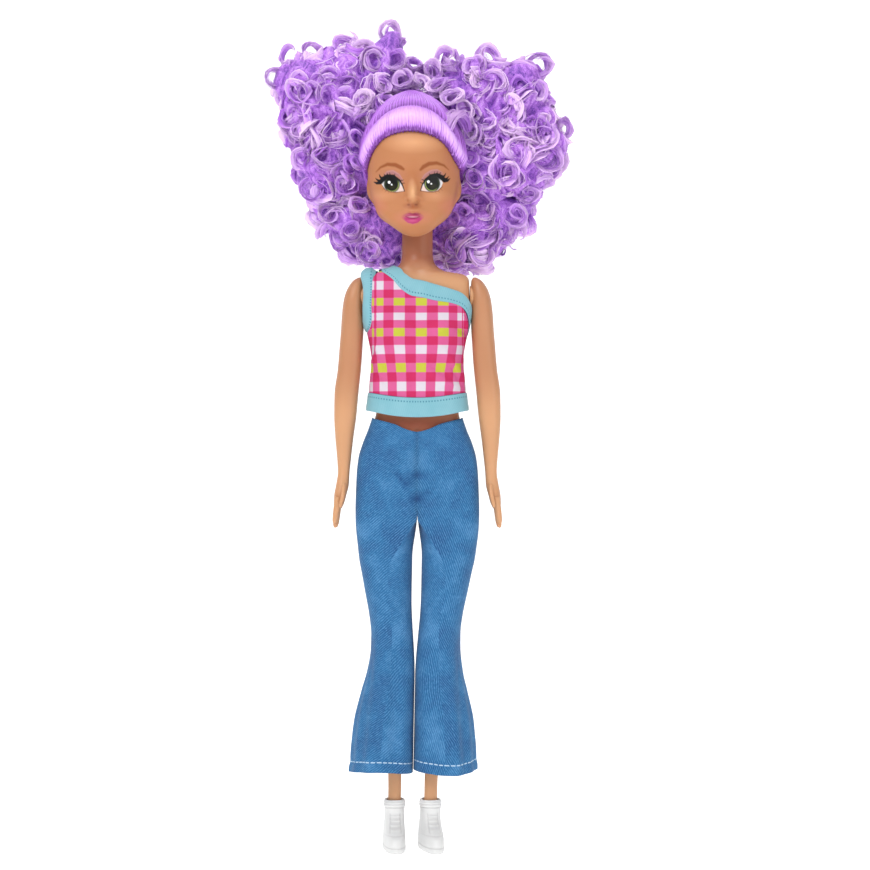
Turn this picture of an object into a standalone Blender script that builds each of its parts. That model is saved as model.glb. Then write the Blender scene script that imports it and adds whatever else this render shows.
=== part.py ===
"""A fashion doll in a one-shoulder gingham top, flared jeans and white shoes.

The doll stands on the ground plane, faces -Y and has its own left side at +X.
Trunk, head and clothes are surfaces wrapped round an upright axis: a table gives the side, front and
back outline at each level, and clothes are the same surface a little further out.
"""
import math

import bmesh
import bpy
import numpy as np

MM = 0.001

# Driving sizes of the trunk
BODY_TOP = 240.0 * MM
BODY_HALF_WIDTH = 22.8 * MM
BODY_HALF_DEPTH = 11.5 * MM
NECK_RADIUS = 5.9 * MM
SHELL_WALL = 1.4 * MM
SEAM_GAP = 0.3 * MM
PART_GAP = 0.4 * MM
BUST_PROUD = 3.9 * MM
BUST_RADIUS = 6.4 * MM

# Driving sizes of the hips
HIP_Z = 138.0 * MM
HIP_RADIUS = 11.5 * MM
PELVIS_HALF_WIDTH = 7.2 * MM
PELVIS_HALF_DEPTH = 8.0 * MM
PELVIS_BOTTOM = 128.6 * MM
HIP_ROD_RADIUS = 2.2 * MM
HIP_BALL_RADIUS = 3.6 * MM
HIP_BALL_X = 13.4 * MM
DRAIN_RADIUS = 0.5 * MM

# Driving sizes of the arms
SHOULDER_Z = 212.0 * MM
SHOULDER_ROW = 13.5
ARM_TOP = 219.7 * MM
ARM_LENGTH = 94.5 * MM
ARM_WIDTH = 9.0 * MM
ARM_HALF_DEPTH = 6.2 * MM
PEG_RADIUS = 2.4 * MM
PEG_FLANGE_RADIUS = 3.4 * MM
PEG_FLANGE_THICKNESS = 1.0 * MM
PEG_SINK = 1.6 * MM
SHOULDER_GAP = 0.8 * MM
THUMB_RADIUS = 0.9 * MM
THUMB_TAPER_SHARE = 0.35

# Driving sizes of the legs and feet
LEG_HALF_DEPTH = 9.6 * MM
LEG_LEAN = -2.2 * MM
LEG_LEAN_TOP = 120.0 * MM
FOOT_LENGTH = 23.0 * MM
FOOT_HALF_WIDTH = 4.3 * MM
SHOE_HEIGHT = 18.5 * MM
SHOE_WALL = 0.9 * MM
VAMP_SHARE = 0.8
SOLE_THICKNESS = 1.5 * MM
LEFT_FOOT_YAW = math.radians(12)
RIGHT_FOOT_YAW = math.radians(5)

# Driving sizes of the head
CHIN_Z = 235.0 * MM
HEAD_HEIGHT = 54.0 * MM
HEAD_HALF_WIDTH = 17.6 * MM
HEAD_HALF_DEPTH = 17.6 * MM
HEAD_WALL = 1.8 * MM
HEAD_LEAN = -2.2 * MM
HEAD_LEAN_START_SHARE = 0.35
FACE_CROWD_SHARE = 0.2
NOSE_PROUD = 3.4 * MM
LIP_PROUD = 1.1 * MM
EYE_SOCKET = 0.7 * MM
EAR_PROUD = 1.9 * MM
KNOB_RADIUS = 7.6 * MM
KNOB_HEIGHT = 11.0 * MM
KNOB_FLANGE = 1.6 * MM
KNOB_LIFT = 3.0 * MM
POST_RADIUS = 3.9 * MM
POST_BOTTOM = 224.0 * MM

# Driving sizes of the hair
CAP_THICKNESS = 1.9 * MM
CAP_GAP = 0.8 * MM
HAIR_BOTTOM = 224.4 * MM
NECK_CLEARANCE = 4.6 * MM
CURL_DEPTH = 1.7 * MM
TUFT_RADIUS = 1.7 * MM
BUNCH_REACH_SHARE = 0.454
BUNCH_SPREAD_SHARE = 0.86
BUNCH_BOTTOM = 251.4 * MM
BUNCH_MIDDLE_Y = 14.0 * MM
BUNCH_DEEP = 16.0 * MM
LEFT_PARTING = 4.2 * MM
LEFT_BUNCH_RISE_SHARE = 0.387
RIGHT_PARTING = 1.2 * MM
RIGHT_BUNCH_RISE_SHARE = 0.478
BACK_HAIR_REACH = 44.0 * MM
BACK_HAIR_X = 2.5 * MM
BACK_HAIR_Z = 238.0 * MM
BACK_HAIR_MIDDLE_Y = 16.0 * MM
BACK_HAIR_DEEP = 13.0 * MM
HAIR_GAP = 0.5 * MM
HAIR_TOP = 317.5 * MM

# Driving sizes of the clothes
CLOTH_GAP = 0.5 * MM
TOP_GAP = 0.8 * MM
TOP_CLOTH = 0.5 * MM
BINDING_CLOTH = 0.5 * MM
DENIM = 0.6 * MM
HEM_PROUD = 2.3 * MM
PLACKET_PROUD = 1.7 * MM
STRIP_CLOTH = 0.5 * MM
STRIP_GAP = 0.35 * MM
JEANS_EASE = 14.0 * MM
JEANS_TOP = 125.5 * MM
JEANS_HEM = 30.0 * MM
SEAT_DROP = 0.5 * MM

# How far the neck stands before the middle of the whole doll's box
STAND_Y = -5.5 * MM

# A difference in turn and level small enough to take a slope from
WHISKER = 0.02

# Outlines of the masses of curls seen from the front: the angle up from the doll's left, and the reach
LEFT_BUNCH_SHARES = (
    (0, 0.92), (9, 0.86), (30, 0.84), (47, 0.98), (61, 1.02), (75, 0.99), (90, 0.96), (105, 1.02), (120, 1.06),
    (135, 1.13), (150, 1.00), (180, 0.88), (210, 1.01), (225, 1.19), (240, 1.07), (270, 0.94), (300, 1.02), (320, 0.93),
    (338, 0.95), (350, 0.95), (360, 0.92),
)
RIGHT_BUNCH_SHARES = (
    (0, 0.84), (20, 0.88), (45, 1.10), (61, 1.33), (77, 0.97), (92, 0.96), (107, 0.95), (120, 0.97),
    (135, 1.11), (151, 1.12), (165, 0.98), (180, 0.85), (200, 0.86), (221, 0.96), (243, 1.17), (270, 1.10),
    (290, 1.12), (309, 1.28), (330, 0.98), (360, 0.84),
)
BACK_HAIR_SHARES = (
    (0, 0.78), (6, 0.95), (15, 1.03), (30, 0.66), (60, 0.40), (90, 0.35), (120, 0.40), (150, 0.66),
    (165, 1.03), (174, 0.94), (180, 0.87), (195, 0.70), (213, 0.61), (240, 0.40), (270, 0.33), (300, 0.40),
    (327, 0.61), (345, 0.68), (360, 0.78),
)

# How softly the hair is pressed flat, and where the softness no longer counts; how full its dome is
SOFTNESS = 0.5 * MM
SHARP = 30.0
FULL_SHARE = 0.55

# Levels of the trunk: side height, half width, front height, front depth, back height, back depth,
# as shares of BODY_TOP, BODY_HALF_WIDTH and BODY_HALF_DEPTH, and the power that squares the section
BODY_SHARES = (
    (0.5210, 1.000, 0.5210, 0.810, 0.5210, 0.940, 0.50),
    (0.5500, 0.995, 0.5500, 0.790, 0.5500, 0.970, 0.50),
    (0.5750, 0.987, 0.5750, 0.770, 0.5750, 1.000, 0.50),
    (0.6000, 0.975, 0.6000, 0.745, 0.6000, 1.010, 0.50),
    (0.6255, 0.945, 0.6255, 0.720, 0.6255, 0.985, 0.52),
    (0.6480, 0.875, 0.6480, 0.710, 0.6480, 0.915, 0.60),
    (0.6710, 0.780, 0.6710, 0.700, 0.6710, 0.825, 0.75),
    (0.6960, 0.700, 0.6960, 0.685, 0.6960, 0.745, 0.85),
    (0.7250, 0.660, 0.7250, 0.670, 0.7250, 0.690, 0.90),
    (0.7580, 0.667, 0.7580, 0.700, 0.7580, 0.710, 0.90),
    (0.7920, 0.722, 0.7920, 0.785, 0.7920, 0.770, 0.90),
    (0.8210, 0.782, 0.8210, 0.860, 0.8210, 0.825, 0.85),
    (0.8460, 0.845, 0.8460, 0.865, 0.8460, 0.840, 0.70),
    (0.8710, 0.885, 0.8710, 0.820, 0.8710, 0.830, 0.60),
    (0.8940, 0.878, 0.8900, 0.745, 0.8920, 0.780, 0.60),
    (0.9110, 0.868, 0.9075, 0.660, 0.9100, 0.700, 0.65),
    (0.9195, 0.785, 0.9190, 0.585, 0.9230, 0.610, 0.78),
    (0.9245, 0.480, 0.9290, 0.533, 0.9330, 0.540, 0.95),
)
# Levels of the neck, all round: side height, front height and back height, and the radius
NECK_SHARES = (
    (0.9390, 0.9400, 0.9440, 1.100),
    (0.9540, 0.9540, 0.9540, 1.000),
    (1.0000, 1.0000, 1.0000, 1.000),
)
BUST_SHARES = {"x": 0.41, "z": 0.832}

# Levels of the head from the neck hole to the crown: heights above the chin, widths and depths,
# as shares of HEAD_HEIGHT, HEAD_HALF_WIDTH and HEAD_HALF_DEPTH
HEAD_SHARES = (
    (0.082, 0.470, 0.038, 0.585, 0.105, 0.490),
    (0.109, 0.580, 0.006, 0.740, 0.135, 0.648),
    (0.148, 0.705, 0.030, 0.847, 0.189, 0.801),
    (0.196, 0.807, 0.078, 0.886, 0.250, 0.920),
    (0.252, 0.886, 0.122, 0.864, 0.315, 0.994),
    (0.311, 0.949, 0.174, 0.898, 0.389, 1.040),
    (0.370, 0.983, 0.241, 0.903, 0.463, 1.063),
    (0.435, 1.000, 0.324, 0.915, 0.537, 1.063),
    (0.509, 1.006, 0.417, 0.926, 0.611, 1.040),
    (0.593, 0.994, 0.519, 0.983, 0.685, 0.994),
    (0.681, 0.955, 0.626, 0.994, 0.759, 0.903),
    (0.770, 0.864, 0.741, 0.932, 0.833, 0.773),
    (0.852, 0.716, 0.848, 0.773, 0.900, 0.602),
    (0.922, 0.511, 0.933, 0.511, 0.954, 0.398),
    (0.970, 0.261, 0.981, 0.250, 0.985, 0.205),
    (0.993, 0.030, 1.000, 0.030, 1.000, 0.030),
)
NECK_HOLE_SHARES = (0.056, 0.048, 0.068)
NOSE_SHARES = {"z": 0.262, "wide": 0.115, "rise": 0.085, "fall": 0.026}
LIP_SHARES = {"z": 0.163, "wide": 0.20, "high": 0.034}
EYE_SHARES = {"x": 0.44, "z": 0.385, "wide": 0.24, "high": 0.060}
EAR_SHARES = {"y": 0.09, "z": 0.325, "deep": 0.13, "high": 0.070}

# Hairline: the turn away from the face, in half turns, and the level in the head's own rows
HAIRLINE_SHARES = (
    (0.000, 10.35), (0.185, 9.95), (0.295, 9.10), (0.340, 8.50), (0.390, 8.05), (0.440, 7.75),
    (0.530, 7.60), (0.590, 6.90), (0.660, 4.40), (0.730, 2.50), (0.850, 1.50), (1.000, 1.30),
)

# The arm below its top: drop, inner side and outer side from the shoulder plane, forward, half depth,
# as shares of ARM_LENGTH, ARM_WIDTH and ARM_HALF_DEPTH
ARM_SHARES = (
    (0.001, 0.100, 0.200, 0.000, 0.150),
    (0.012, 0.020, 0.400, 0.000, 0.470),
    (0.030, 0.000, 0.560, 0.000, 0.690),
    (0.058, 0.000, 0.720, 0.000, 0.870),
    (0.096, 0.000, 0.830, 0.000, 0.980),
    (0.150, 0.000, 0.900, 0.000, 1.000),
    (0.216, 0.011, 0.945, 0.000, 0.890),
    (0.268, 0.045, 0.990, 0.020, 0.790),
    (0.373, 0.110, 1.080, 0.050, 0.710),
    (0.478, 0.200, 1.220, 0.100, 0.710),
    (0.562, 0.280, 1.233, 0.130, 0.690),
    (0.656, 0.410, 1.180, 0.190, 0.610),
    (0.740, 0.510, 1.100, 0.290, 0.480),
    (0.793, 0.567, 1.067, 0.355, 0.400),
    (0.845, 0.600, 1.144, 0.420, 0.500),
    (0.908, 0.744, 1.267, 0.480, 0.680),
    (0.971, 0.911, 1.300, 0.520, 0.520),
    (0.999, 1.044, 1.220, 0.520, 0.230),
)
THUMB_SHARES = ((0.835, 0.84, 0.62), (0.868, 0.80, 1.02), (0.905, 0.86, 1.26), (0.935, 0.92, 1.34))

# The leg: height as a share of HIP_Z, inner and outer side as shares of BODY_HALF_WIDTH,
# front and back as shares of LEG_HALF_DEPTH
LEG_SHARES = (
    (1.078, 0.480, 0.760, 0.290, 0.290),
    (1.060, 0.385, 0.880, 0.780, 0.780),
    (1.036, 0.350, 0.940, 0.880, 1.040),
    (1.000, 0.350, 0.970, 0.880, 1.100),
    (0.945, 0.350, 0.975, 0.870, 1.090),
    (0.925, 0.340, 0.970, 0.850, 1.070),
    (0.904, 0.085, 0.955, 0.880, 1.055),
    (0.880, 0.080, 0.935, 0.890, 1.040),
    (0.855, 0.075, 0.915, 0.900, 1.010),
    (0.797, 0.105, 0.870, 0.880, 0.950),
    (0.720, 0.125, 0.790, 0.830, 0.860),
    (0.650, 0.120, 0.700, 0.760, 0.760),
    (0.600, 0.125, 0.655, 0.720, 0.660),
    (0.540, 0.125, 0.650, 0.600, 0.680),
    (0.460, 0.135, 0.640, 0.520, 0.720),
    (0.380, 0.160, 0.590, 0.440, 0.640),
    (0.300, 0.185, 0.500, 0.350, 0.480),
    (0.220, 0.195, 0.425, 0.270, 0.330),
    (0.150, 0.195, 0.415, 0.250, 0.310),
    (0.105, 0.190, 0.418, 0.270, 0.420),
)
# Ease of the jeans round the leg: height, inside, outside, front and back as shares of JEANS_EASE
EASE_SHARES = (
    (0.910, 0.008, 0.020, 0.010, 0.010),
    (0.855, 0.015, 0.035, 0.030, 0.030),
    (0.797, 0.030, 0.070, 0.050, 0.060),
    (0.720, 0.040, 0.060, 0.060, 0.070),
    (0.650, 0.060, 0.070, 0.080, 0.090),
    (0.610, 0.085, 0.080, 0.090, 0.130),
    (0.560, 0.080, 0.080, 0.150, 0.130),
    (0.500, 0.100, 0.160, 0.220, 0.140),
    (0.435, 0.130, 0.340, 0.320, 0.220),
    (0.370, 0.140, 0.560, 0.420, 0.310),
    (0.300, 0.170, 0.770, 0.510, 0.430),
    (0.250, 0.140, 0.890, 0.570, 0.540),
    (0.210, 0.150, 0.960, 0.600, 0.590),
)

# Foot and shoe from the ground up: height as a share of SHOE_HEIGHT, toe and heel reach as shares of
# FOOT_LENGTH, half width as a share of FOOT_HALF_WIDTH
SHOE_SHARES = (
    (0.000, 0.625, 0.325, 0.900),
    (0.060, 0.655, 0.345, 1.000),
    (0.170, 0.650, 0.345, 1.000),
    (0.275, 0.610, 0.342, 0.985),
    (0.360, 0.520, 0.338, 0.975),
    (0.440, 0.405, 0.330, 0.950),
    (0.550, 0.290, 0.310, 0.920),
    (0.680, 0.220, 0.285, 0.890),
    (0.810, 0.190, 0.262, 0.890),
    (0.900, 0.200, 0.262, 0.985),
    (0.960, 0.198, 0.258, 0.985),
    (1.000, 0.175, 0.240, 0.930),
)

# Edges of the clothes in the trunk's own rows, over the turn from the left side by the front
TOP_EDGE_SHARES = (
    (0, 10.95), (16, 11.75), (45, 12.65), (64, 12.93), (80, 13.10), (90, 13.45), (97, 13.95), (110, 14.85),
    (128, 15.45), (135, 15.50), (137.4, 12.80), (140, 12.30), (150, 11.75), (165, 11.30), (180, 11.20),
)
TOP_EDGE_TURNS = (135.8, 136.6, 137.4, 222.6, 223.4, 224.2)
NECKLINE_SHARES = (
    (0, 11.05, 11.75), (16, 11.85, 12.50), (45, 12.75, 13.40), (64, 13.03, 13.75), (80, 13.20, 14.00),
    (90, 13.55, 14.40), (97, 14.05, 14.95), (110, 14.95, 15.75), (128, 15.60, 16.40), (150, 16.35, 17.20),
    (180, 16.50, 17.40),
)
ARMHOLE_SHARES = {"level": 13.4, "inner": (22.0, 1.35, 1.90), "outer": (40.6, 2.05, 2.72)}
TOP_SQUEEZE_ROWS = 1.5
HEM_ROWS = (7.00, 8.00)
HEM_FADE_SHARE = 0.3
TOP_BOTTOM_ROW = 8.08
SEAT_FIRST_ROW = 0.02
WAIST_SHARES = ((0, 6.75), (35, 6.55), (65, 6.00), (90, 5.75))
BACK_WAIST_ROW = 6.50
TOP_STRIP_ROWS = (8.60, 11.40)
SEAT_STRIP_ROWS = (2.80, 5.60)
STRIP_HALF_TURN = math.radians(9)
PLACKET_HALF_TURN = math.radians(11)
PLACKET_FADE = math.radians(24)

# Numbers of facets and rings, and the levels where the trunk, leg, foot and head have a ring
TRUNK_SIDES = 28
TRUNK_LEVELS = (5, 6, 7, 8.5, 10, 11, 11.6, 12.2, 12.8, 13.5, 14.3, 15, 15.7, 16.4, 17.2, 18.5, 20)
ROUND_SIDES = 14
LIMB_SIDES = 12
LEG_LEVELS_SHARES = tuple(row[0] for row in LEG_SHARES)
FOOT_LEVELS_SHARES = (0.55, 0.45, 0.36, 0.28, 0.18, 0.08, 0.00)
ARM_LEVELS_SHARES = tuple(row[0] for row in ARM_SHARES)
THUMB_SIDES = 10
HEAD_SIDES = 28
HEAD_LEVELS = (0, 1, 2, 3, 3.6, 4.2, 4.8, 5.4, 6, 6.6, 7.3, 8.3, 9.5, 11, 12.3, 13.5, 14.5, 15.3, 16)
HEAD_INSIDE_LEVELS = (2, 4, 7, 10, 12.5, 15)
ROOM_RINGS = 22
CAP_RINGS = 10
HAIR_SIDES = 24
HAIR_RINGS = 10
TUFT_POINTS = 5
STRIP_POINTS = 5
ARC_POINTS = 7
BALL_SIDES = 16
BALL_RINGS = 10
SHARP_EDGE = math.radians(50)

# How square a level section is, and how the cap's rings crowd towards its hairline
LIMB_POWER = 0.9
SHOE_POWER = 0.85
CAP_CROWD = 0.9
TOP_RINGS = 12
SEAT_RINGS = 6
JEANS_RINGS = 12
ARMHOLE_SIDES = 24
PATCH_ROWS = 3

# How many lumps a mass of curls has round and up, and where the folded tuft lies on the head
LUMPS_ROUND = 8
LUMPS_DEEP = 5
TUFT_LEVELS = (11.2, 13.4)
TUFT_TURN = math.radians(38)

SKIN = (0.80, 0.49, 0.31)
FACE_SKIN = (0.84, 0.54, 0.36)
HAIR = (0.43, 0.18, 0.66)
HAIR_LIGHT = (0.66, 0.40, 0.86)
GINGHAM = (0.80, 0.10, 0.28)
AQUA = (0.46, 0.74, 0.78)
DENIM_BLUE = (0.10, 0.27, 0.47)
WHITE = (0.85, 0.85, 0.85)
NYLON = (0.90, 0.90, 0.88)


def clear_scene():
    """Start from an empty scene."""
    for old in list(bpy.data.objects):
        bpy.data.objects.remove(old)


def collection(name):
    """A collection linked to the scene."""
    group = bpy.data.collections.new(name)
    bpy.context.scene.collection.children.link(group)
    return group


def material(name, colour, roughness, metallic=0.0):
    """A Principled material."""
    new = bpy.data.materials.new(name)
    new.use_nodes = True
    shader = new.node_tree.nodes["Principled BSDF"]
    shader.inputs["Base Color"].default_value = (*colour, 1.0)
    shader.inputs["Roughness"].default_value = roughness
    shader.inputs["Metallic"].default_value = metallic
    new.diffuse_color = (*colour, 1.0)
    return new


def smooth(rows, at):
    """Values at given places of a table, on a cubic that never overshoots its rows."""
    rows = np.asarray(rows, float)
    at = np.clip(np.asarray(at, float), rows[0, 0], rows[-1, 0])
    place, value = rows[:, 0], rows[:, 1:]
    span = np.diff(place)
    slope = np.diff(value, axis=0) / span[:, None]
    product = slope[:-1] * slope[1:]
    total = np.where(product > 0, slope[:-1] + slope[1:], 1)
    middle = np.where(product > 0, 2 * product / total, 0)
    tangent = np.vstack([slope[:1], middle, slope[-1:]])
    k = np.clip(np.searchsorted(place, at, side="right") - 1, 0, len(span) - 1)
    u = ((at - place[k]) / span[k])[..., None]
    h = span[k][..., None]
    start = (1 + 2 * u) * (1 - u) ** 2 * value[k] + u * (1 - u) ** 2 * h * tangent[k]
    end = u**2 * (3 - 2 * u) * value[k + 1] + u**2 * (u - 1) * h * tangent[k + 1]
    return np.moveaxis(start + end, -1, 0)


def numbered(rows):
    """The rows of a table with their own number in front."""
    return [(i, *row) for i, row in enumerate(rows)]


def ease(low, high, value):
    """A smooth step from 0 at low to 1 at high."""
    u = np.clip((value - low) / (high - low), 0, 1)
    return u * u * (3 - 2 * u)


def bell(value, middle, width):
    """A bell curve of height 1."""
    return np.exp(-(((value - middle) / width) ** 2))


def wrapped(rows, turn, level, detail):
    """A point of a form: side, front and back outlines joined by a rounded section.

    The turn runs from the left side over the front; heights blend by its squared sine and cosine.
    """
    side_z, wide, front_z, front, back_z, back, lean, power = smooth(rows, level)
    c, s = np.cos(turn), np.sin(turn)
    before = s > 0
    across = np.sign(c) * np.abs(c) ** power
    along = np.sign(s) * np.abs(s) ** power
    x = lean + wide * across
    y = -np.where(before, front, back) * along
    z = side_z * c**2 + np.where(before, front_z, back_z) * s**2
    return detail(np.stack(np.broadcast_arrays(x, y, z), -1), lean, before)


def proud_of(rows, turn, level, detail, proud):
    """A point of a form moved out along its normal."""
    turn, level = np.broadcast_arrays(np.asarray(turn, float), np.asarray(level, float))
    here = wrapped(rows, turn, level, detail)
    round_about = wrapped(rows, turn + WHISKER, level, detail) - wrapped(rows, turn - WHISKER, level, detail)
    upward = wrapped(rows, turn, level + WHISKER, detail) - wrapped(rows, turn, level - WHISKER, detail)
    normal = np.cross(upward, round_about)
    normal /= np.linalg.norm(normal, axis=-1, keepdims=True)
    return here + normal * np.asarray(proud, float)[..., None]


def body_rows():
    """The trunk's table in metres, with the neck's own radius on top."""
    rows = []
    for side, wide, front_z, front, back_z, back, power in BODY_SHARES:
        rows.append((side * BODY_TOP, wide * BODY_HALF_WIDTH, front_z * BODY_TOP,
                     front * BODY_HALF_DEPTH, back_z * BODY_TOP, back * BODY_HALF_DEPTH, 0, power))
    for side, front_z, back_z, share in NECK_SHARES:
        radius = share * NECK_RADIUS
        rows.append((side * BODY_TOP, radius, front_z * BODY_TOP, radius, back_z * BODY_TOP, radius, 0, 1))
    return numbered(rows)


def body_detail(point, lean, before):
    """The bust, two soft bells on the front."""
    x, y, z = point[..., 0], point[..., 1], point[..., 2]
    across = bell(np.abs(x), BUST_SHARES["x"] * BODY_HALF_WIDTH, BUST_RADIUS)
    upright = bell(z, BUST_SHARES["z"] * BODY_TOP, BUST_RADIUS)
    swell = np.where(before, BUST_PROUD * across * upright, 0) * ease(0, BUST_RADIUS, -y)
    return np.stack([x, y - swell, z], -1)


def body(turn, level, proud=0.0):
    """A point on the trunk, or proud of it."""
    return proud_of(BODY, turn, level, body_detail, proud)


def head_rows():
    """The head's table in metres, from the rim of the neck hole up."""
    side, front, back = (CHIN_Z + share * HEAD_HEIGHT for share in NECK_HOLE_SHARES)
    hole = NECK_RADIUS + PART_GAP
    rows = [(side, hole, front, hole, back, hole, 0, 1)]
    for side, wide, front_z, front, back_z, back in HEAD_SHARES:
        rows.append((CHIN_Z + side * HEAD_HEIGHT, wide * HEAD_HALF_WIDTH,
                     CHIN_Z + front_z * HEAD_HEIGHT, front * HEAD_HALF_DEPTH,
                     CHIN_Z + back_z * HEAD_HEIGHT, back * HEAD_HALF_DEPTH,
                     HEAD_LEAN * (HEAD_LEAN_START_SHARE + (1 - HEAD_LEAN_START_SHARE) * side), 1))
    return numbered(rows)


def head_detail(point, lean, before):
    """Nose, lips, eye hollows and ears, each a bell added to the smooth head."""
    x, y, z = point[..., 0] - lean, point[..., 1], point[..., 2]
    up = (z - CHIN_Z) / HEAD_HEIGHT
    side = x / HEAD_HALF_WIDTH
    above = np.where(up > NOSE_SHARES["z"], NOSE_SHARES["rise"], NOSE_SHARES["fall"])
    nose = NOSE_PROUD * bell(side, 0, NOSE_SHARES["wide"]) * bell(up, NOSE_SHARES["z"], above)
    lips = LIP_PROUD * bell(side, 0, LIP_SHARES["wide"]) * bell(up, LIP_SHARES["z"], LIP_SHARES["high"])
    eyes = EYE_SOCKET * bell(np.abs(side), EYE_SHARES["x"], EYE_SHARES["wide"])
    eyes = eyes * bell(up, EYE_SHARES["z"], EYE_SHARES["high"])
    forward = np.where(before, nose + lips - eyes, 0) * ease(0, HEAD_HALF_DEPTH, -y)
    ears = EAR_PROUD * bell(y / HEAD_HALF_DEPTH, EAR_SHARES["y"], EAR_SHARES["deep"])
    ears = ears * bell(up, EAR_SHARES["z"], EAR_SHARES["high"]) * ease(0, HEAD_HALF_WIDTH, np.abs(x))
    return np.stack([point[..., 0] + np.sign(x) * ears, y - forward, z], -1)


def head(turn, level, proud=0.0):
    """A point on the head, or proud of it."""
    return proud_of(HEAD, turn, level, head_detail, proud)


def turns(sides, first=0.0, last=2 * math.pi, whole=True):
    """Evenly spread turns, without the last one where the round closes."""
    return np.linspace(first, last, sides, endpoint=not whole)


def lofted(name, rings, group, paint, ring_of_rings=False):
    """A closed solid through a row of rings, capped at both ends or joined end to end."""
    rings = np.asarray(rings, float)
    count, sides = rings.shape[:2]
    index = np.arange(count * sides).reshape(count, sides)
    low = index if ring_of_rings else index[:-1]
    high = np.roll(index, -1, axis=0) if ring_of_rings else index[1:]
    quads = np.stack([low, np.roll(low, -1, 1), np.roll(high, -1, 1), high], -1)
    faces = quads.reshape(-1, 4).tolist()
    if not ring_of_rings:
        faces += [index[0][::-1].tolist(), index[-1].tolist()]
    points = rings.reshape(-1, 3) + np.array([0, STAND_Y, 0])
    mesh = bpy.data.meshes.new(name)
    mesh.from_pydata(points.tolist(), [], faces)
    return finish(name, mesh, group, paint)


def finish(name, mesh, group, paint):
    """An object of a mesh whose faces are turned outwards and shaded smooth."""
    work = bmesh.new()
    work.from_mesh(mesh)
    bmesh.ops.recalc_face_normals(work, faces=work.faces)
    work.to_mesh(mesh)
    work.free()
    mesh.shade_smooth()
    mesh.set_sharp_from_angle(angle=SHARP_EDGE)
    if paint is not None:
        mesh.materials.append(paint)
    made = bpy.data.objects.new(name, mesh)
    group.objects.link(made)
    return made


def hidden(cutter):
    """Show a cutter as a wire only."""
    cutter.hide_render = True
    cutter.display_type = "WIRE"
    return cutter


def boolean(piece, cutter, operation="DIFFERENCE"):
    """Cut or join with a Boolean modifier."""
    change = piece.modifiers.new(cutter.name, "BOOLEAN")
    change.operation = operation
    change.object = cutter
    change.solver = "EXACT"
    return piece


def rod(name, radius, centre, length, group, axis="X", sides=ROUND_SIDES):
    """A plain cylinder, about X or Z."""
    work = bmesh.new()
    bmesh.ops.create_cone(work, cap_ends=True, segments=sides, radius1=radius, radius2=radius, depth=length)
    mesh = bpy.data.meshes.new(name)
    work.to_mesh(mesh)
    work.free()
    made = finish(name, mesh, group, None)
    made.location = (centre[0], centre[1] + STAND_Y, centre[2])
    if axis == "X":
        made.rotation_euler = (0, math.pi / 2, 0)
    return made


def ball(name, radius, centre, group):
    """A plain sphere."""
    work = bmesh.new()
    bmesh.ops.create_uvsphere(work, u_segments=BALL_SIDES, v_segments=BALL_RINGS, radius=radius)
    mesh = bpy.data.meshes.new(name)
    work.to_mesh(mesh)
    work.free()
    made = finish(name, mesh, group, None)
    made.location = (centre[0], centre[1] + STAND_Y, centre[2])
    return made


def turned(name, profile, group, paint, centre, axis="Z", steps=ROUND_SIDES):
    """A turned piece: a profile of radius and height, run down its outer side, on a Screw modifier."""
    mesh = bpy.data.meshes.new(name)
    points = [(radius, 0, height) for radius, height in profile]
    mesh.from_pydata(points, [(i, i + 1) for i in range(len(points) - 1)], [])
    mesh.materials.append(paint)
    made = bpy.data.objects.new(name, mesh)
    group.objects.link(made)
    screw = made.modifiers.new("Turn", "SCREW")
    screw.steps = screw.render_steps = steps
    screw.use_merge_vertices = True
    screw.merge_threshold = 0.00001
    screw.use_smooth_shade = True
    made.location = (centre[0], centre[1] + STAND_Y, centre[2])
    if axis == "X":
        made.rotation_euler = (0, math.pi / 2, 0)
    return made


def patch(name, form, turn, levels, inner, outer, group, paint):
    """A strip of cloth on a form, between two levels that may follow the turn."""
    low, high = levels
    rows = np.linspace(low, high, PATCH_ROWS)
    rings = []
    for row in rows:
        there = form(turn, row, outer)
        back = form(turn[::-1], row[::-1] if np.ndim(row) else row, inner)
        rings.append(np.vstack([there, back]))
    return lofted(name, rings, group, paint)


def sleeve(name, outer, inner, group, paint):
    """A tube wall from two stacks of rings that match."""
    return lofted(name, list(outer) + list(inner)[::-1], group, paint, ring_of_rings=True)


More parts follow.
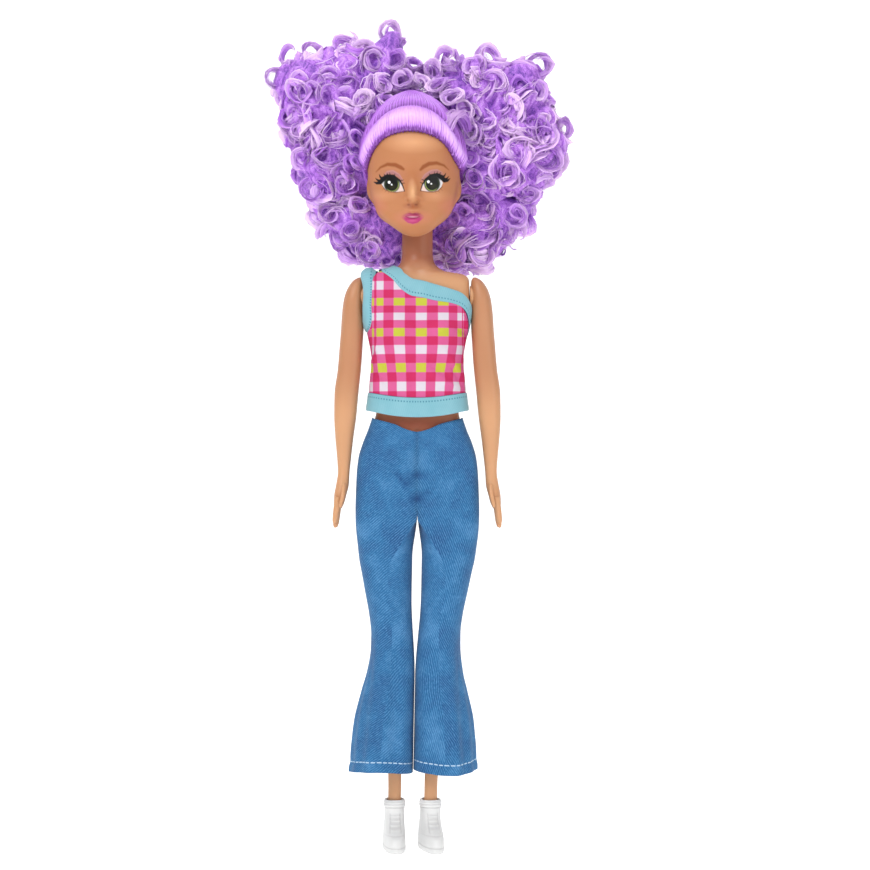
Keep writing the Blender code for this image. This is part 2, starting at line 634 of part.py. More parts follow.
def half_shell(name, front, group, paint, cuts):
    """One half of the hollow trunk, with its pelvis, hip shelf and neck."""
    first = 0.0 if front else math.pi
    turn = turns(TRUNK_SIDES // 2 + 1, first, first + math.pi, whole=False)
    seam = np.array([0, (-0.5 if front else 0.5) * SEAM_GAP, 0])

    def ring(outer, inner):
        return np.vstack([outer, inner[::-1]]) + seam

    def pelvis(height, inset):
        x = (PELVIS_HALF_WIDTH - inset) * np.cos(turn)
        y = -(PELVIS_HALF_DEPTH - inset) * np.sin(turn)
        return np.stack([x, y, np.full_like(x, height)], -1)

    def shelf(height, inset):
        rim = body(turn, np.interp(height, [row[1] for row in BODY], range(len(BODY))), -inset)
        rim[:, 2] = height
        return rim

    under = HIP_Z + HIP_RADIUS + PART_GAP
    over = under + SHELL_WALL
    tight = PELVIS_HALF_WIDTH - DRAIN_RADIUS
    rings = [
        ring(pelvis(PELVIS_BOTTOM, 0), pelvis(PELVIS_BOTTOM, tight)),
        ring(pelvis(PELVIS_BOTTOM + SHELL_WALL, 0), pelvis(PELVIS_BOTTOM + SHELL_WALL, SHELL_WALL)),
        ring(pelvis(under, 0), pelvis(under, SHELL_WALL)),
        ring(shelf(under, 0), pelvis(under + SEAM_GAP, SHELL_WALL)),
        ring(shelf(over, 0), pelvis(over, SHELL_WALL)),
        ring(shelf(over + SEAM_GAP, 0), shelf(over + SEAM_GAP, SHELL_WALL)),
    ]
    for level in TRUNK_LEVELS:
        rings.append(ring(body(turn, level), body(turn, level, -SHELL_WALL)))
    shell = lofted(name, rings, group, paint)
    for cut in cuts:
        boolean(shell, cut)
    return shell


def make_trunk(group, cutters, paints):
    """Both halves of the trunk, the neck post and the hip rod."""
    shoulder_hole = hidden(rod("shoulder_hole", PEG_RADIUS + PART_GAP, (0, 0, SHOULDER_Z),
                               4 * BODY_HALF_WIDTH, cutters))
    hip_hole = hidden(rod("hip_hole", HIP_ROD_RADIUS + PART_GAP, (0, 0, HIP_Z),
                          4 * PELVIS_HALF_WIDTH, cutters))
    for name, front in (("torso_front", True), ("torso_back", False)):
        half_shell(name, front, group, paints["skin"], (shoulder_hole, hip_hole))
    turned("neck_post", post_profile(), group, paints["nylon"], (0, 0, 0))
    turned("hip_rod", rod_profile(), group, paints["nylon"], (0, 0, HIP_Z), axis="X")


def post_profile():
    """The neck post from the top of its knob down to its foot."""
    knob_bottom = BODY_TOP + KNOB_LIFT
    flange_top = knob_bottom + KNOB_FLANGE
    dome = KNOB_RADIUS - KNOB_FLANGE
    top = flange_top + KNOB_HEIGHT - KNOB_FLANGE
    arc = [(dome * math.sin(a), top - dome * (1 - math.cos(a)))
           for a in np.linspace(0, math.pi / 2, ARC_POINTS)]
    return arc + [(dome, flange_top), (KNOB_RADIUS, flange_top), (KNOB_RADIUS, knob_bottom),
                  (POST_RADIUS, knob_bottom), (POST_RADIUS, POST_BOTTOM), (0, POST_BOTTOM)]


def rod_profile():
    """The hip rod along its length: a ball on each end of a bar."""
    meet = math.asin(HIP_ROD_RADIUS / HIP_BALL_RADIUS)
    arc = [(HIP_BALL_RADIUS * math.sin(a), HIP_BALL_X + HIP_BALL_RADIUS * math.cos(a))
           for a in np.linspace(0, math.pi - meet, ARC_POINTS + 1)]
    return arc + [(r, -z) for r, z in reversed(arc)]


def oval(inner, outer, front, back, height, power=LIMB_POWER, sides=LIMB_SIDES):
    """A level section from its four sides."""
    turn = turns(sides)
    c, s = np.cos(turn), np.sin(turn)
    x = (inner + outer) / 2 + (outer - inner) / 2 * np.sign(c) * np.abs(c) ** power
    y = -np.where(s > 0, front, back) * np.sign(s) * np.abs(s) ** power
    return np.stack([x, y, np.full_like(x, height)], -1)


def shoulder_plane():
    """Where the arm's flat inner side stands off the trunk."""
    return body(0, SHOULDER_ROW)[0] + SHOULDER_GAP


def arm_rings(side):
    """Sections of an arm and its hand, from the shoulder's top to the finger tips."""
    plane = shoulder_plane()
    rings = []
    for drop in ARM_LEVELS_SHARES:
        inner, outer, forward, deep = smooth(ARM_SHARES, drop)
        deep = deep * ARM_HALF_DEPTH
        forward = forward * ARM_HALF_DEPTH
        ring = oval(plane + inner * ARM_WIDTH, plane + outer * ARM_WIDTH, deep, deep,
                    ARM_TOP - drop * ARM_LENGTH)
        rings.append((ring + np.array([0, -forward, 0])) * np.array([side, 1, 1]))
    return rings


def make_arms(group, cutters, paints):
    """Both arms, each with the thumb and the peg that snaps into the trunk."""
    for name, side in (("arm_left", 1), ("arm_right", -1)):
        arm = lofted(name, arm_rings(side), group, paints["skin"])
        plane = shoulder_plane()
        wall = plane - SHOULDER_GAP - SHELL_WALL - PEG_SINK
        reach = plane + ARM_WIDTH / 2 - wall
        peg = rod(name + "_peg", PEG_RADIUS, (side * (wall + reach / 2), 0, SHOULDER_Z), reach, cutters)
        flange = rod(name + "_flange", PEG_FLANGE_RADIUS,
                     (side * (wall - PEG_FLANGE_THICKNESS / 2), 0, SHOULDER_Z),
                     PEG_FLANGE_THICKNESS, cutters)
        bridge = rod(name + "_bridge", PEG_RADIUS - SEAM_GAP / 2, (side * wall, 0, SHOULDER_Z),
                     PEG_FLANGE_THICKNESS, cutters)
        boolean(hidden(peg), hidden(flange), "UNION")
        boolean(peg, hidden(bridge), "UNION")
        boolean(arm, peg, "UNION")
        boolean(arm, hidden(thumb(name + "_thumb", side, cutters)), "UNION")


def thumb(name, side, group):
    """A thumb as a short tapered tube beside the palm."""
    plane = shoulder_plane()
    rings = []
    for i, (drop, across, forward) in enumerate(THUMB_SHARES):
        radius = THUMB_RADIUS * (1 - THUMB_TAPER_SHARE * i / (len(THUMB_SHARES) - 1))
        x = plane + across * ARM_WIDTH
        y = forward * ARM_HALF_DEPTH
        ring = oval(x - radius, x + radius, radius, radius, ARM_TOP - drop * ARM_LENGTH,
                    1.0, THUMB_SIDES)
        rings.append((ring - np.array([0, y, 0])) * np.array([side, 1, 1]))
    return lofted(name, rings, group, None)


def leaning(rings, side):
    """Mirror the rings to their side and lean them, since both legs slant a little to one side."""
    rings = np.array(rings) * np.array([side, 1, 1])
    rings[..., 0] += LEG_LEAN * np.clip(1 - rings[..., 2] / LEG_LEAN_TOP, 0, None)
    return rings


def leg_section(height, ease_of_jeans=(0, 0, 0, 0), gap=0.0):
    """The leg's section at a height, widened by the jeans' ease and a gap."""
    inner, outer, front, back = smooth(LEG_SHARES[::-1], height / HIP_Z)
    room = [share * JEANS_EASE + gap for share in ease_of_jeans]
    return oval(inner * BODY_HALF_WIDTH - room[0], outer * BODY_HALF_WIDTH + room[1],
                front * LEG_HALF_DEPTH + room[2], back * LEG_HALF_DEPTH + room[3], height)


def ankle_x():
    """Middle of the ankle before the legs lean."""
    low = LEG_SHARES[-1]
    return (low[1] + low[2]) / 2 * BODY_HALF_WIDTH


def foot_section(height, inset):
    """The shoe's section at a height, or the foot inside it, with more room under the slanting vamp."""
    toe, heel, wide = smooth(SHOE_SHARES, height / SHOE_HEIGHT)
    wide = wide * FOOT_HALF_WIDTH - inset
    x = ankle_x()
    vamp = 1 + VAMP_SHARE * math.sin(math.pi * height / SHOE_HEIGHT)
    return oval(x - wide, x + wide, toe * FOOT_LENGTH - vamp * inset, heel * FOOT_LENGTH - inset,
                height, SHOE_POWER)


def yawed(ring, side, yaw):
    """Turn a section about the ankle's upright axis."""
    ring = np.array(ring)
    x, y = ring[:, 0] - ankle_x(), ring[:, 1]
    yaw = yaw * side
    ring[:, 0] = ankle_x() + x * math.cos(yaw) - y * math.sin(yaw)
    ring[:, 1] = x * math.sin(yaw) + y * math.cos(yaw)
    return ring


def make_legs(group, cutters, paints):
    """Both legs with their feet, bored for the hip rod's balls."""
    foot_inset = SHOE_WALL + PART_GAP
    foot_bottom = SOLE_THICKNESS + PART_GAP
    for name, side, yaw in (("leg_left", 1, LEFT_FOOT_YAW), ("leg_right", -1, RIGHT_FOOT_YAW)):
        heights = [share * HIP_Z for share in LEG_LEVELS_SHARES]
        rings = [leg_section(height) for height in heights]
        for share in FOOT_LEVELS_SHARES:
            height = foot_bottom + share * (SHOE_HEIGHT - foot_bottom)
            rings.append(yawed(foot_section(height, foot_inset), side, yaw))
        leg = lofted(name, leaning(rings, side), group, paints["skin"])
        bore = rod(name + "_bore", HIP_ROD_RADIUS + PART_GAP,
                   (side * HIP_BALL_X / 2, 0, HIP_Z), HIP_BALL_X, cutters)
        socket = ball(name + "_socket", HIP_BALL_RADIUS + PART_GAP, (side * HIP_BALL_X, 0, HIP_Z), cutters)
        boolean(hidden(bore), hidden(socket), "UNION")
        boolean(leg, bore)


def make_shoes(group, paints):
    """Both shoes, hollow round the foot and open at the collar."""
    for name, side, yaw in (("shoe_left", 1, LEFT_FOOT_YAW), ("shoe_right", -1, RIGHT_FOOT_YAW)):
        outer = [foot_section(row[0] * SHOE_HEIGHT, 0) for row in SHOE_SHARES]
        inner = []
        for row in SHOE_SHARES[::-1]:
            height = SOLE_THICKNESS + row[0] * (SHOE_HEIGHT - SOLE_THICKNESS)
            inner.append(foot_section(height, SHOE_WALL))
        rings = [yawed(ring, side, yaw) for ring in outer + inner]
        lofted(name, leaning(rings, side), group, paints["white"])


def head_turns():
    """Turns round the head, crowded towards the middle of the face."""
    turn = turns(HEAD_SIDES)
    return turn - FACE_CROWD_SHARE * np.sin(2 * turn) * np.where(np.sin(turn) > 0, 1, 0)


def make_head(group, paints):
    """The soft head: one skin outside and inside, joined round the neck hole."""
    turn = head_turns()
    inside = [head(turn, level, -HEAD_WALL) for level in HEAD_INSIDE_LEVELS]
    outside = [head(turn, level) for level in HEAD_LEVELS]
    hole = neck_hole(turn)
    lofted("head", inside[::-1] + [hole] + outside, group, paints["face"])


def neck_hole(turn):
    """The inner edge of the neck hole."""
    ring = head(turn, 0)
    ring[:, 2] = BODY_TOP - PART_GAP
    return ring


def hairline(turn):
    """Level of the hairline at each turn."""
    away = np.abs((turn - math.pi / 2 + math.pi) % (2 * math.pi) - math.pi) / math.pi
    return smooth(HAIRLINE_SHARES, away)[0] + 1


def make_cap(group, paints):
    """The combed hair: a cap on the scalp from the hairline to the crown."""
    turn = head_turns()
    start = hairline(turn)
    top = len(HEAD_SHARES)
    shares = np.linspace(0, 1, CAP_RINGS) ** CAP_CROWD
    levels = [start + share * (top - start) for share in shares]
    inner = [head(turn, level, CAP_GAP) for level in levels]
    outer = [head(turn, level, CAP_GAP + CAP_THICKNESS) for level in levels]
    return lofted("hair_cap", inner[::-1] + outer, group, paints["hair_light"])


def head_cutter(group):
    """The head with its cap, for cutting the loose hair to fit."""
    turn = head_turns()
    levels = np.linspace(1, len(HEAD_SHARES), ROOM_RINGS)
    skin = [head(turn, level, CAP_GAP + CAP_THICKNESS + PART_GAP) for level in levels]
    return hidden(lofted("head_room", skin, group, None))


def above(floor, value):
    """The value pressed softly against a floor, so that no two rings meet on it."""
    over = (value - floor) / SOFTNESS
    return floor + SOFTNESS * np.where(over > SHARP, over, np.log1p(np.exp(np.minimum(over, SHARP))))


def curls(name, outline, reach, centre, deep, span, group, paint):
    """A mass of curls: an outline seen from the front, domed forwards and backwards, with rolling lumps.

    It is pressed flat at the ends of a span of heights, where it meets the next mass.
    """
    x, y, z = centre
    turn, back = np.meshgrid(turns(HAIR_SIDES), np.linspace(0, math.pi, HAIR_RINGS + 2)[1:-1])
    wave = np.sin(LUMPS_ROUND * turn + 2 * back) * np.sin(LUMPS_DEEP * back - turn)
    spread = (reach * smooth(outline, np.degrees(turn))[0] + CURL_DEPTH * wave) * np.sin(back) ** FULL_SHARE
    x = x + spread * np.cos(turn)
    y = y - (deep + CURL_DEPTH * wave) * np.cos(back)
    z = z + spread * np.sin(turn)
    z = -above(-span[1], -above(span[0], z))
    return lofted(name, np.stack([x, y, z], -1), group, paint)


def make_hair(group, cutters, paints):
    """The two bunches, the hair behind the neck and the folded tuft."""
    room = head_cutter(cutters)
    upper = (BUNCH_BOTTOM, HAIR_TOP)
    tall = HAIR_TOP - BUNCH_BOTTOM
    reach = BUNCH_REACH_SHARE * tall
    left_z = BUNCH_BOTTOM + LEFT_BUNCH_RISE_SHARE * tall
    right_z = BUNCH_BOTTOM + RIGHT_BUNCH_RISE_SHARE * tall
    left_x = LEFT_PARTING + BUNCH_SPREAD_SHARE * reach
    right_x = -RIGHT_PARTING - BUNCH_SPREAD_SHARE * reach
    left = curls("hair_bunch_left", LEFT_BUNCH_SHARES, reach,
                 (left_x, BUNCH_MIDDLE_Y, left_z), BUNCH_DEEP, upper, group, paints["hair"])
    right = curls("hair_bunch_right", RIGHT_BUNCH_SHARES, reach,
                  (right_x, BUNCH_MIDDLE_Y, right_z), BUNCH_DEEP, upper, group, paints["hair"])
    back = curls("hair_back", BACK_HAIR_SHARES, BACK_HAIR_REACH,
                 (BACK_HAIR_X, BACK_HAIR_MIDDLE_Y, BACK_HAIR_Z), BACK_HAIR_DEEP,
                 (HAIR_BOTTOM, BUNCH_BOTTOM - HAIR_GAP), group, paints["hair"])
    for mass in (left, right, back):
        boolean(mass, room)
    neck = rod("neck_room", NECK_RADIUS + NECK_CLEARANCE, (0, 0, CHIN_Z), BODY_HALF_WIDTH * 2, cutters, "Z")
    boolean(back, hidden(neck))
    make_tuft(group, paints)


def make_tuft(group, paints):
    """A short tuft folded back on itself beside the front hair."""
    curve = bpy.data.curves.new("hair_tuft_path", "CURVE")
    curve.dimensions = "3D"
    curve.bevel_depth = TUFT_RADIUS
    curve.bevel_resolution = 1
    curve.use_fill_caps = True
    spline = curve.splines.new("POLY")
    seat = CAP_GAP + CAP_THICKNESS + PART_GAP + TUFT_RADIUS
    steps = np.linspace(0, 1, TUFT_POINTS)
    spline.points.add(TUFT_POINTS - 1)
    for point, share in zip(spline.points, steps):
        level = TUFT_LEVELS[0] + share * (TUFT_LEVELS[1] - TUFT_LEVELS[0])
        lift = seat + TUFT_RADIUS * math.sin(math.pi * share)
        x, y, z = head(TUFT_TURN, level, lift)
        point.co = (x, y + STAND_Y, z, 1)
    made = bpy.data.objects.new("hair_tuft", curve)
    made.data.materials.append(paints["hair_light"])
    group.objects.link(made)


def placket(turn):
    """Extra room over the fastening strips, at the middle of the back."""
    away = np.abs(turn - 1.5 * math.pi)
    return PLACKET_PROUD * (1 - ease(PLACKET_HALF_TURN, PLACKET_FADE, away))


def mirrored_edge(table, turn):
    """A level that depends on the turn from the left side, the same on front and back."""
    degrees = np.degrees(np.where(turn > math.pi, 2 * math.pi - turn, turn))
    return smooth(table, degrees)


def make_top(group, paints):
    """The gingham top with its three bindings and the two strips that fasten it."""
    turn = turns(TRUNK_SIDES)
    edged = np.sort(np.append(turn, np.radians(TOP_EDGE_TURNS)))
    edge = mirrored_edge(TOP_EDGE_SHARES, edged)[0]
    inner, outer = [], []
    highest = edge.max()
    bend = edge - TOP_SQUEEZE_ROWS
    for share in np.linspace(0, 1, TOP_RINGS):
        level = TOP_BOTTOM_ROW + share * (highest - TOP_BOTTOM_ROW)
        squeezed = bend + TOP_SQUEEZE_ROWS * (level - bend) / (highest - bend)
        level = np.where(level < bend, level, squeezed)
        stand_off = TOP_GAP + HEM_PROUD * (1 - ease(0, HEM_FADE_SHARE, share)) + placket(edged)
        inner.append(body(edged, level, stand_off))
        outer.append(body(edged, level, stand_off + TOP_CLOTH))
    sleeve("top_body", outer, inner, group, paints["gingham"])
    hem_off = CLOTH_GAP + HEM_PROUD + placket(turn)
    hem = [(body(turn, row, hem_off + BINDING_CLOTH), body(turn, row, hem_off)) for row in HEM_ROWS]
    sleeve("hem_binding", [o for o, i in hem], [i for o, i in hem], group, paints["aqua"])
    make_neckline(group, paints, turn)
    make_armhole(group, paints)
    strips("top", TOP_STRIP_ROWS, CLOTH_GAP, group, paints)


def make_neckline(group, paints, turn):
    """The slanting band round the neckline and over one shoulder."""
    low, high = mirrored_edge(NECKLINE_SHARES, turn)
    rows = [low + share * (high - low) for share in np.linspace(0, 1, PATCH_ROWS)]
    off = np.full_like(turn, CLOTH_GAP)
    outer = [body(turn, row, off + BINDING_CLOTH) for row in rows]
    inner = [body(turn, row, off) for row in rows]
    sleeve("neckline_binding", outer, inner, group, paints["aqua"])


def make_armhole(group, paints):
    """The band round the armhole: an oval ring laid on the trunk's surface."""
    about = turns(ARMHOLE_SIDES)
    stack = {}
    for proud in (CLOTH_GAP, CLOTH_GAP + BINDING_CLOTH):
        for edge in ("inner", "outer"):
            wide, under, over = ARMHOLE_SHARES[edge]
            rise = np.where(np.sin(about) > 0, over, under)
            where = math.pi + np.radians(wide) * np.cos(about)
            level = ARMHOLE_SHARES["level"] + rise * np.sin(about)
            stack[edge, proud] = body(where, level, proud)
    low, high = CLOTH_GAP, CLOTH_GAP + BINDING_CLOTH
    rings = [stack["outer", high], stack["inner", high], stack["inner", low], stack["outer", low]]
    lofted("armhole_binding", rings, group, paints["aqua"], ring_of_rings=True)


def strips(garment, rows, off, group, paints):
    """The hook strip and the loop strip that lap over each other at the back."""
    turn = turns(STRIP_POINTS, 1.5 * math.pi - STRIP_HALF_TURN, 1.5 * math.pi + STRIP_HALF_TURN, whole=False)
    first = off - (CLOTH_GAP - STRIP_GAP)
    for name, start in (("loop_strip", first), ("hook_strip", first + STRIP_CLOTH + STRIP_GAP)):
        patch(f"{garment}_{name}", body, turn, rows, start, start + STRIP_CLOTH, group, paints["nylon"])


def waist(turn):
    """Level of the jeans' waist edge: dipped in front, high at the sides."""
    degrees = np.degrees(turn)
    folded = np.where(degrees > 90, 180 - degrees, degrees)
    before = smooth(WAIST_SHARES, folded)[0]
    behind = WAIST_SHARES[0][1] + (BACK_WAIST_ROW - WAIST_SHARES[0][1]) * np.abs(np.sin(turn))
    return np.where(np.sin(turn) > 0, before, behind)


def make_jeans(group, paints):
    """The seat of the jeans, their two flared legs and the strips that fasten them."""
    turn = turns(TRUNK_SIDES)
    edge = waist(turn)
    outer, inner = [], []
    first = SEAT_FIRST_ROW
    for share in np.linspace(0, 1, SEAT_RINGS):
        level = first + share * (edge - first)
        off = CLOTH_GAP + placket(turn)
        inner.append(body(turn, level, off))
        outer.append(body(turn, level, off + DENIM))
    sleeve("jeans_seat", outer, inner, group, paints["denim"])
    strips("jeans", SEAT_STRIP_ROWS, CLOTH_GAP, group, paints)
    for name, side in (("jeans_leg_left", 1), ("jeans_leg_right", -1)):
        outer, inner = [], []
        for height in np.linspace(JEANS_TOP - SEAT_DROP, JEANS_HEM, JEANS_RINGS):
            room = smooth(EASE_SHARES[::-1], height / HIP_Z)
            outer.append(leg_section(height, room, PART_GAP + DENIM))
            inner.append(leg_section(height, room, PART_GAP))
        sleeve(name, leaning(outer, side), leaning(inner, side), group, paints["denim"])


BODY = body_rows()
HEAD = head_rows()


def main():
    """Build the doll."""
    clear_scene()
    group = collection("fashion_doll")
    cutters = collection("cutters")
    paints = {
        "skin": material("skin", SKIN, 0.42),
        "face": material("face_skin", FACE_SKIN, 0.45),
        "hair": material("hair", HAIR, 0.40),
        "hair_light": material("combed_hair", HAIR_LIGHT, 0.38),
        "gingham": material("gingham", GINGHAM, 0.85),
        "aqua": material("aqua_binding", AQUA, 0.8),
        "denim": material("denim", DENIM_BLUE, 0.9),
        "white": material("white_shoe", WHITE, 0.5),
        "nylon": material("nylon", NYLON, 0.5),
    }
    make_trunk(group, cutters, paints)
    make_arms(group, cutters, paints)
    make_legs(group, cutters, paints)
    make_shoes(group, paints)
    make_head(group, paints)
    make_cap(group, paints)
    make_hair(group, cutters, paints)
    make_top(group, paints)
    make_jeans(group, paints)


main()
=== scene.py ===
"""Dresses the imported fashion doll: skin, painted face, curled hair, checked top, jeans and shoes.

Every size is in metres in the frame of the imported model: the doll faces -Y, its left side is +X and it
stands on z = 0. The trunk, the head and the clothes are one family of surfaces: a table gives side, front
and back outline at each level, and a point is found from a turn round the form and a level on it.
"""
import math
from collections import namedtuple

import bmesh
import bpy
import numpy as np
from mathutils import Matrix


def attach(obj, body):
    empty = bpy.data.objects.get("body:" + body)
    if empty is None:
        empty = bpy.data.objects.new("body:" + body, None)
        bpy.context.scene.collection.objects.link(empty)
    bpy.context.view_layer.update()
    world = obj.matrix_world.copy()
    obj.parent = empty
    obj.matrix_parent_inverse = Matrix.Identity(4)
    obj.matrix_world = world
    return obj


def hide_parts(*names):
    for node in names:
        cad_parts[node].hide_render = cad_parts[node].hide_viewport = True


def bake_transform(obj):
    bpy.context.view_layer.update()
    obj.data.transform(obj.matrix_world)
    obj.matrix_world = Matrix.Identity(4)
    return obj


bl_info = {
    "name": "Fashion doll dresser",
    "version": (1, 0, 0),
    "blender": (4, 5, 0),
    "location": "View3D > Sidebar > Doll",
    "description": "Builds the skin, hair, clothes and shoes of a fashion doll on its packed frame",
    "category": "Add Mesh",
}

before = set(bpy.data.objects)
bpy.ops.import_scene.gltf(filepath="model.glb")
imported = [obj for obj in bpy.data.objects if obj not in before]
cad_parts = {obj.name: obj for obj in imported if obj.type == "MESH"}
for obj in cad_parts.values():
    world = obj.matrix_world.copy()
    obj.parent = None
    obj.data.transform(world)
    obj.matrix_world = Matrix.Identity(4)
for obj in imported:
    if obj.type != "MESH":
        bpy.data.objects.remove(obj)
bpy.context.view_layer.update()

MM = 0.001
# Added to a length before it divides, so that it is never 0
TINY = 1e-12
STAND_Y = -5.5 * MM

# The view from the front: one step of the picture at the doll, its distance, and where the view is centred
STEP = 0.385 * MM
VIEW_DISTANCE = 0.9
PICTURE = 870
PICTURE_MIDDLE = 435.0
DOLL_MIDDLE = 417.4
GROUND_ROW = 848.0
VIEW_X = (PICTURE_MIDDLE - DOLL_MIDDLE) * STEP
VIEW_Z = (GROUND_ROW - PICTURE_MIDDLE) * STEP

# The trunk
BODY_TOP = 240.0 * MM
BODY_HALF_WIDTH = 22.8 * MM
BODY_HALF_DEPTH = 11.5 * MM
NECK_RADIUS = 5.9 * MM
BUST_PROUD = 3.9 * MM
BUST_RADIUS = 6.4 * MM
HIP_Z = 138.0 * MM
BODY_SHARES = (
    (0.5210, 1.000, 0.5210, 0.810, 0.5210, 0.940, 0.50),
    (0.5500, 0.995, 0.5500, 0.790, 0.5500, 0.970, 0.50),
    (0.5750, 0.987, 0.5750, 0.770, 0.5750, 1.000, 0.50),
    (0.6000, 0.975, 0.6000, 0.745, 0.6000, 1.010, 0.50),
    (0.6255, 0.945, 0.6255, 0.720, 0.6255, 0.985, 0.52),
    (0.6480, 0.875, 0.6480, 0.710, 0.6480, 0.915, 0.60),
    (0.6710, 0.780, 0.6710, 0.700, 0.6710, 0.825, 0.75),
    (0.6960, 0.700, 0.6960, 0.685, 0.6960, 0.745, 0.85),
    (0.7250, 0.660, 0.7250, 0.670, 0.7250, 0.690, 0.90),
    (0.7580, 0.667, 0.7580, 0.700, 0.7580, 0.710, 0.90),
    (0.7920, 0.722, 0.7920, 0.785, 0.7920, 0.770, 0.90),
    (0.8210, 0.782, 0.8210, 0.860, 0.8210, 0.825, 0.85),
    (0.8460, 0.845, 0.8460, 0.865, 0.8460, 0.840, 0.70),
    (0.8710, 0.885, 0.8710, 0.820, 0.8710, 0.830, 0.60),
    (0.8940, 0.878, 0.8900, 0.745, 0.8920, 0.780, 0.60),
    (0.9110, 0.868, 0.9075, 0.660, 0.9100, 0.700, 0.65),
    (0.9195, 0.785, 0.9190, 0.585, 0.9230, 0.610, 0.78),
    (0.9245, 0.480, 0.9290, 0.533, 0.9330, 0.540, 0.95),
)
NECK_SHARES = (
    (0.9390, 0.9400, 0.9440, 1.100),
    (0.9540, 0.9540, 0.9540, 1.000),
    (1.0000, 1.0000, 1.0000, 1.000),
)
BUST_SHARES = {"x": 0.41, "z": 0.832}

# The head
CHIN_Z = 235.0 * MM
HEAD_HEIGHT = 54.0 * MM
HEAD_HALF_WIDTH = 17.6 * MM
HEAD_HALF_DEPTH = 17.6 * MM
HEAD_LEAN = -2.2 * MM
HEAD_LEAN_START_SHARE = 0.35
NOSE_PROUD = 3.4 * MM
LIP_PROUD = 1.1 * MM
EYE_SOCKET = 0.7 * MM
EAR_PROUD = 1.9 * MM
CAP_THICKNESS = 1.9 * MM
CAP_GAP = 0.8 * MM
PART_GAP = 0.4 * MM
HEAD_SHARES = (
    (0.082, 0.470, 0.038, 0.585, 0.105, 0.490),
    (0.109, 0.580, 0.006, 0.740, 0.135, 0.648),
    (0.148, 0.705, 0.030, 0.847, 0.189, 0.801),
    (0.196, 0.807, 0.078, 0.886, 0.250, 0.920),
    (0.252, 0.886, 0.122, 0.864, 0.315, 0.994),
    (0.311, 0.949, 0.174, 0.898, 0.389, 1.040),
    (0.370, 0.983, 0.241, 0.903, 0.463, 1.063),
    (0.435, 1.000, 0.324, 0.915, 0.537, 1.063),
    (0.509, 1.006, 0.417, 0.926, 0.611, 1.040),
    (0.593, 0.994, 0.519, 0.983, 0.685, 0.994),
    (0.681, 0.955, 0.626, 0.994, 0.759, 0.903),
    (0.770, 0.864, 0.741, 0.932, 0.833, 0.773),
    (0.852, 0.716, 0.848, 0.773, 0.900, 0.602),
    (0.922, 0.511, 0.933, 0.511, 0.954, 0.398),
    (0.970, 0.261, 0.981, 0.250, 0.985, 0.205),
    (0.993, 0.030, 1.000, 0.030, 1.000, 0.030),
)
NECK_HOLE_SHARES = (0.056, 0.048, 0.068)
NOSE_SHARES = {"z": 0.262, "wide": 0.115, "rise": 0.085, "fall": 0.026}
LIP_SHARES = {"z": 0.163, "wide": 0.20, "high": 0.034}
EYE_SHARES = {"x": 0.44, "z": 0.385, "wide": 0.24, "high": 0.060}
EAR_SHARES = {"y": 0.09, "z": 0.325, "deep": 0.13, "high": 0.070}
# Hairline: share of the way round from the face's middle, level on the doll's right side and on its left
HAIRLINE_SHARES = (
    (0.000, 10.84, 10.84), (0.050, 10.82, 10.80), (0.100, 10.75, 10.70), (0.150, 10.62, 10.55),
    (0.200, 10.42, 10.27), (0.250, 10.07, 9.83), (0.300, 9.58, 9.15), (0.350, 8.95, 8.45), (0.400, 8.30, 8.02),
    (0.440, 7.85, 7.75), (0.530, 7.60, 7.60), (0.590, 6.90, 6.90), (0.660, 4.40, 4.40), (0.730, 2.50, 2.50),
    (0.850, 1.50, 1.50), (1.000, 1.30, 1.30),
)

# The arms
SHOULDER_Z = 212.0 * MM
SHOULDER_ROW = 13.5
SHOULDER_GAP = 0.8 * MM
BOSS_RADIUS = 4.4 * MM
ARM_TOP = 219.7 * MM
ARM_LENGTH = 94.5 * MM
ARM_WIDTH = 9.0 * MM
ARM_HALF_DEPTH = 6.2 * MM
ARM_SHARES = (
    (0.001, 0.100, 0.200, 0.000, 0.150),
    (0.012, 0.020, 0.400, 0.000, 0.470),
    (0.030, 0.000, 0.560, 0.000, 0.690),
    (0.058, 0.000, 0.720, 0.000, 0.870),
    (0.096, 0.000, 0.830, 0.000, 0.980),
    (0.150, 0.000, 0.900, 0.000, 1.000),
    (0.216, 0.011, 0.945, 0.000, 0.890),
    (0.268, 0.045, 0.990, 0.020, 0.790),
    (0.373, 0.110, 1.080, 0.050, 0.710),
    (0.478, 0.200, 1.220, 0.100, 0.710),
    (0.562, 0.280, 1.233, 0.130, 0.690),
    (0.656, 0.410, 1.180, 0.190, 0.610),
    (0.740, 0.510, 1.100, 0.290, 0.480),
    (0.793, 0.567, 1.067, 0.355, 0.400),
    (0.845, 0.600, 1.144, 0.420, 0.500),
    (0.885, 0.700, 1.220, 0.460, 0.640),
    (0.920, 0.800, 1.240, 0.490, 0.620),
    (0.940, 0.900, 1.200, 0.500, 0.480),
)
# Each finger: forward place, where it starts and ends down the arm, and its thickness, as shares
FINGER_SHARES = (
    (0.88, 0.893, 0.982, 0.190),
    (0.63, 0.893, 0.999, 0.200),
    (0.37, 0.893, 0.992, 0.195),
    (0.12, 0.893, 0.966, 0.170),
)
# Each step of the thumb: its place down the arm, across and forward, as shares
THUMB_SHARES = (
    (0.828, 0.82, 0.55),
    (0.852, 0.80, 0.90),
    (0.885, 0.83, 1.20),
    (0.915, 0.90, 1.34),
    (0.936, 0.94, 1.36),
)

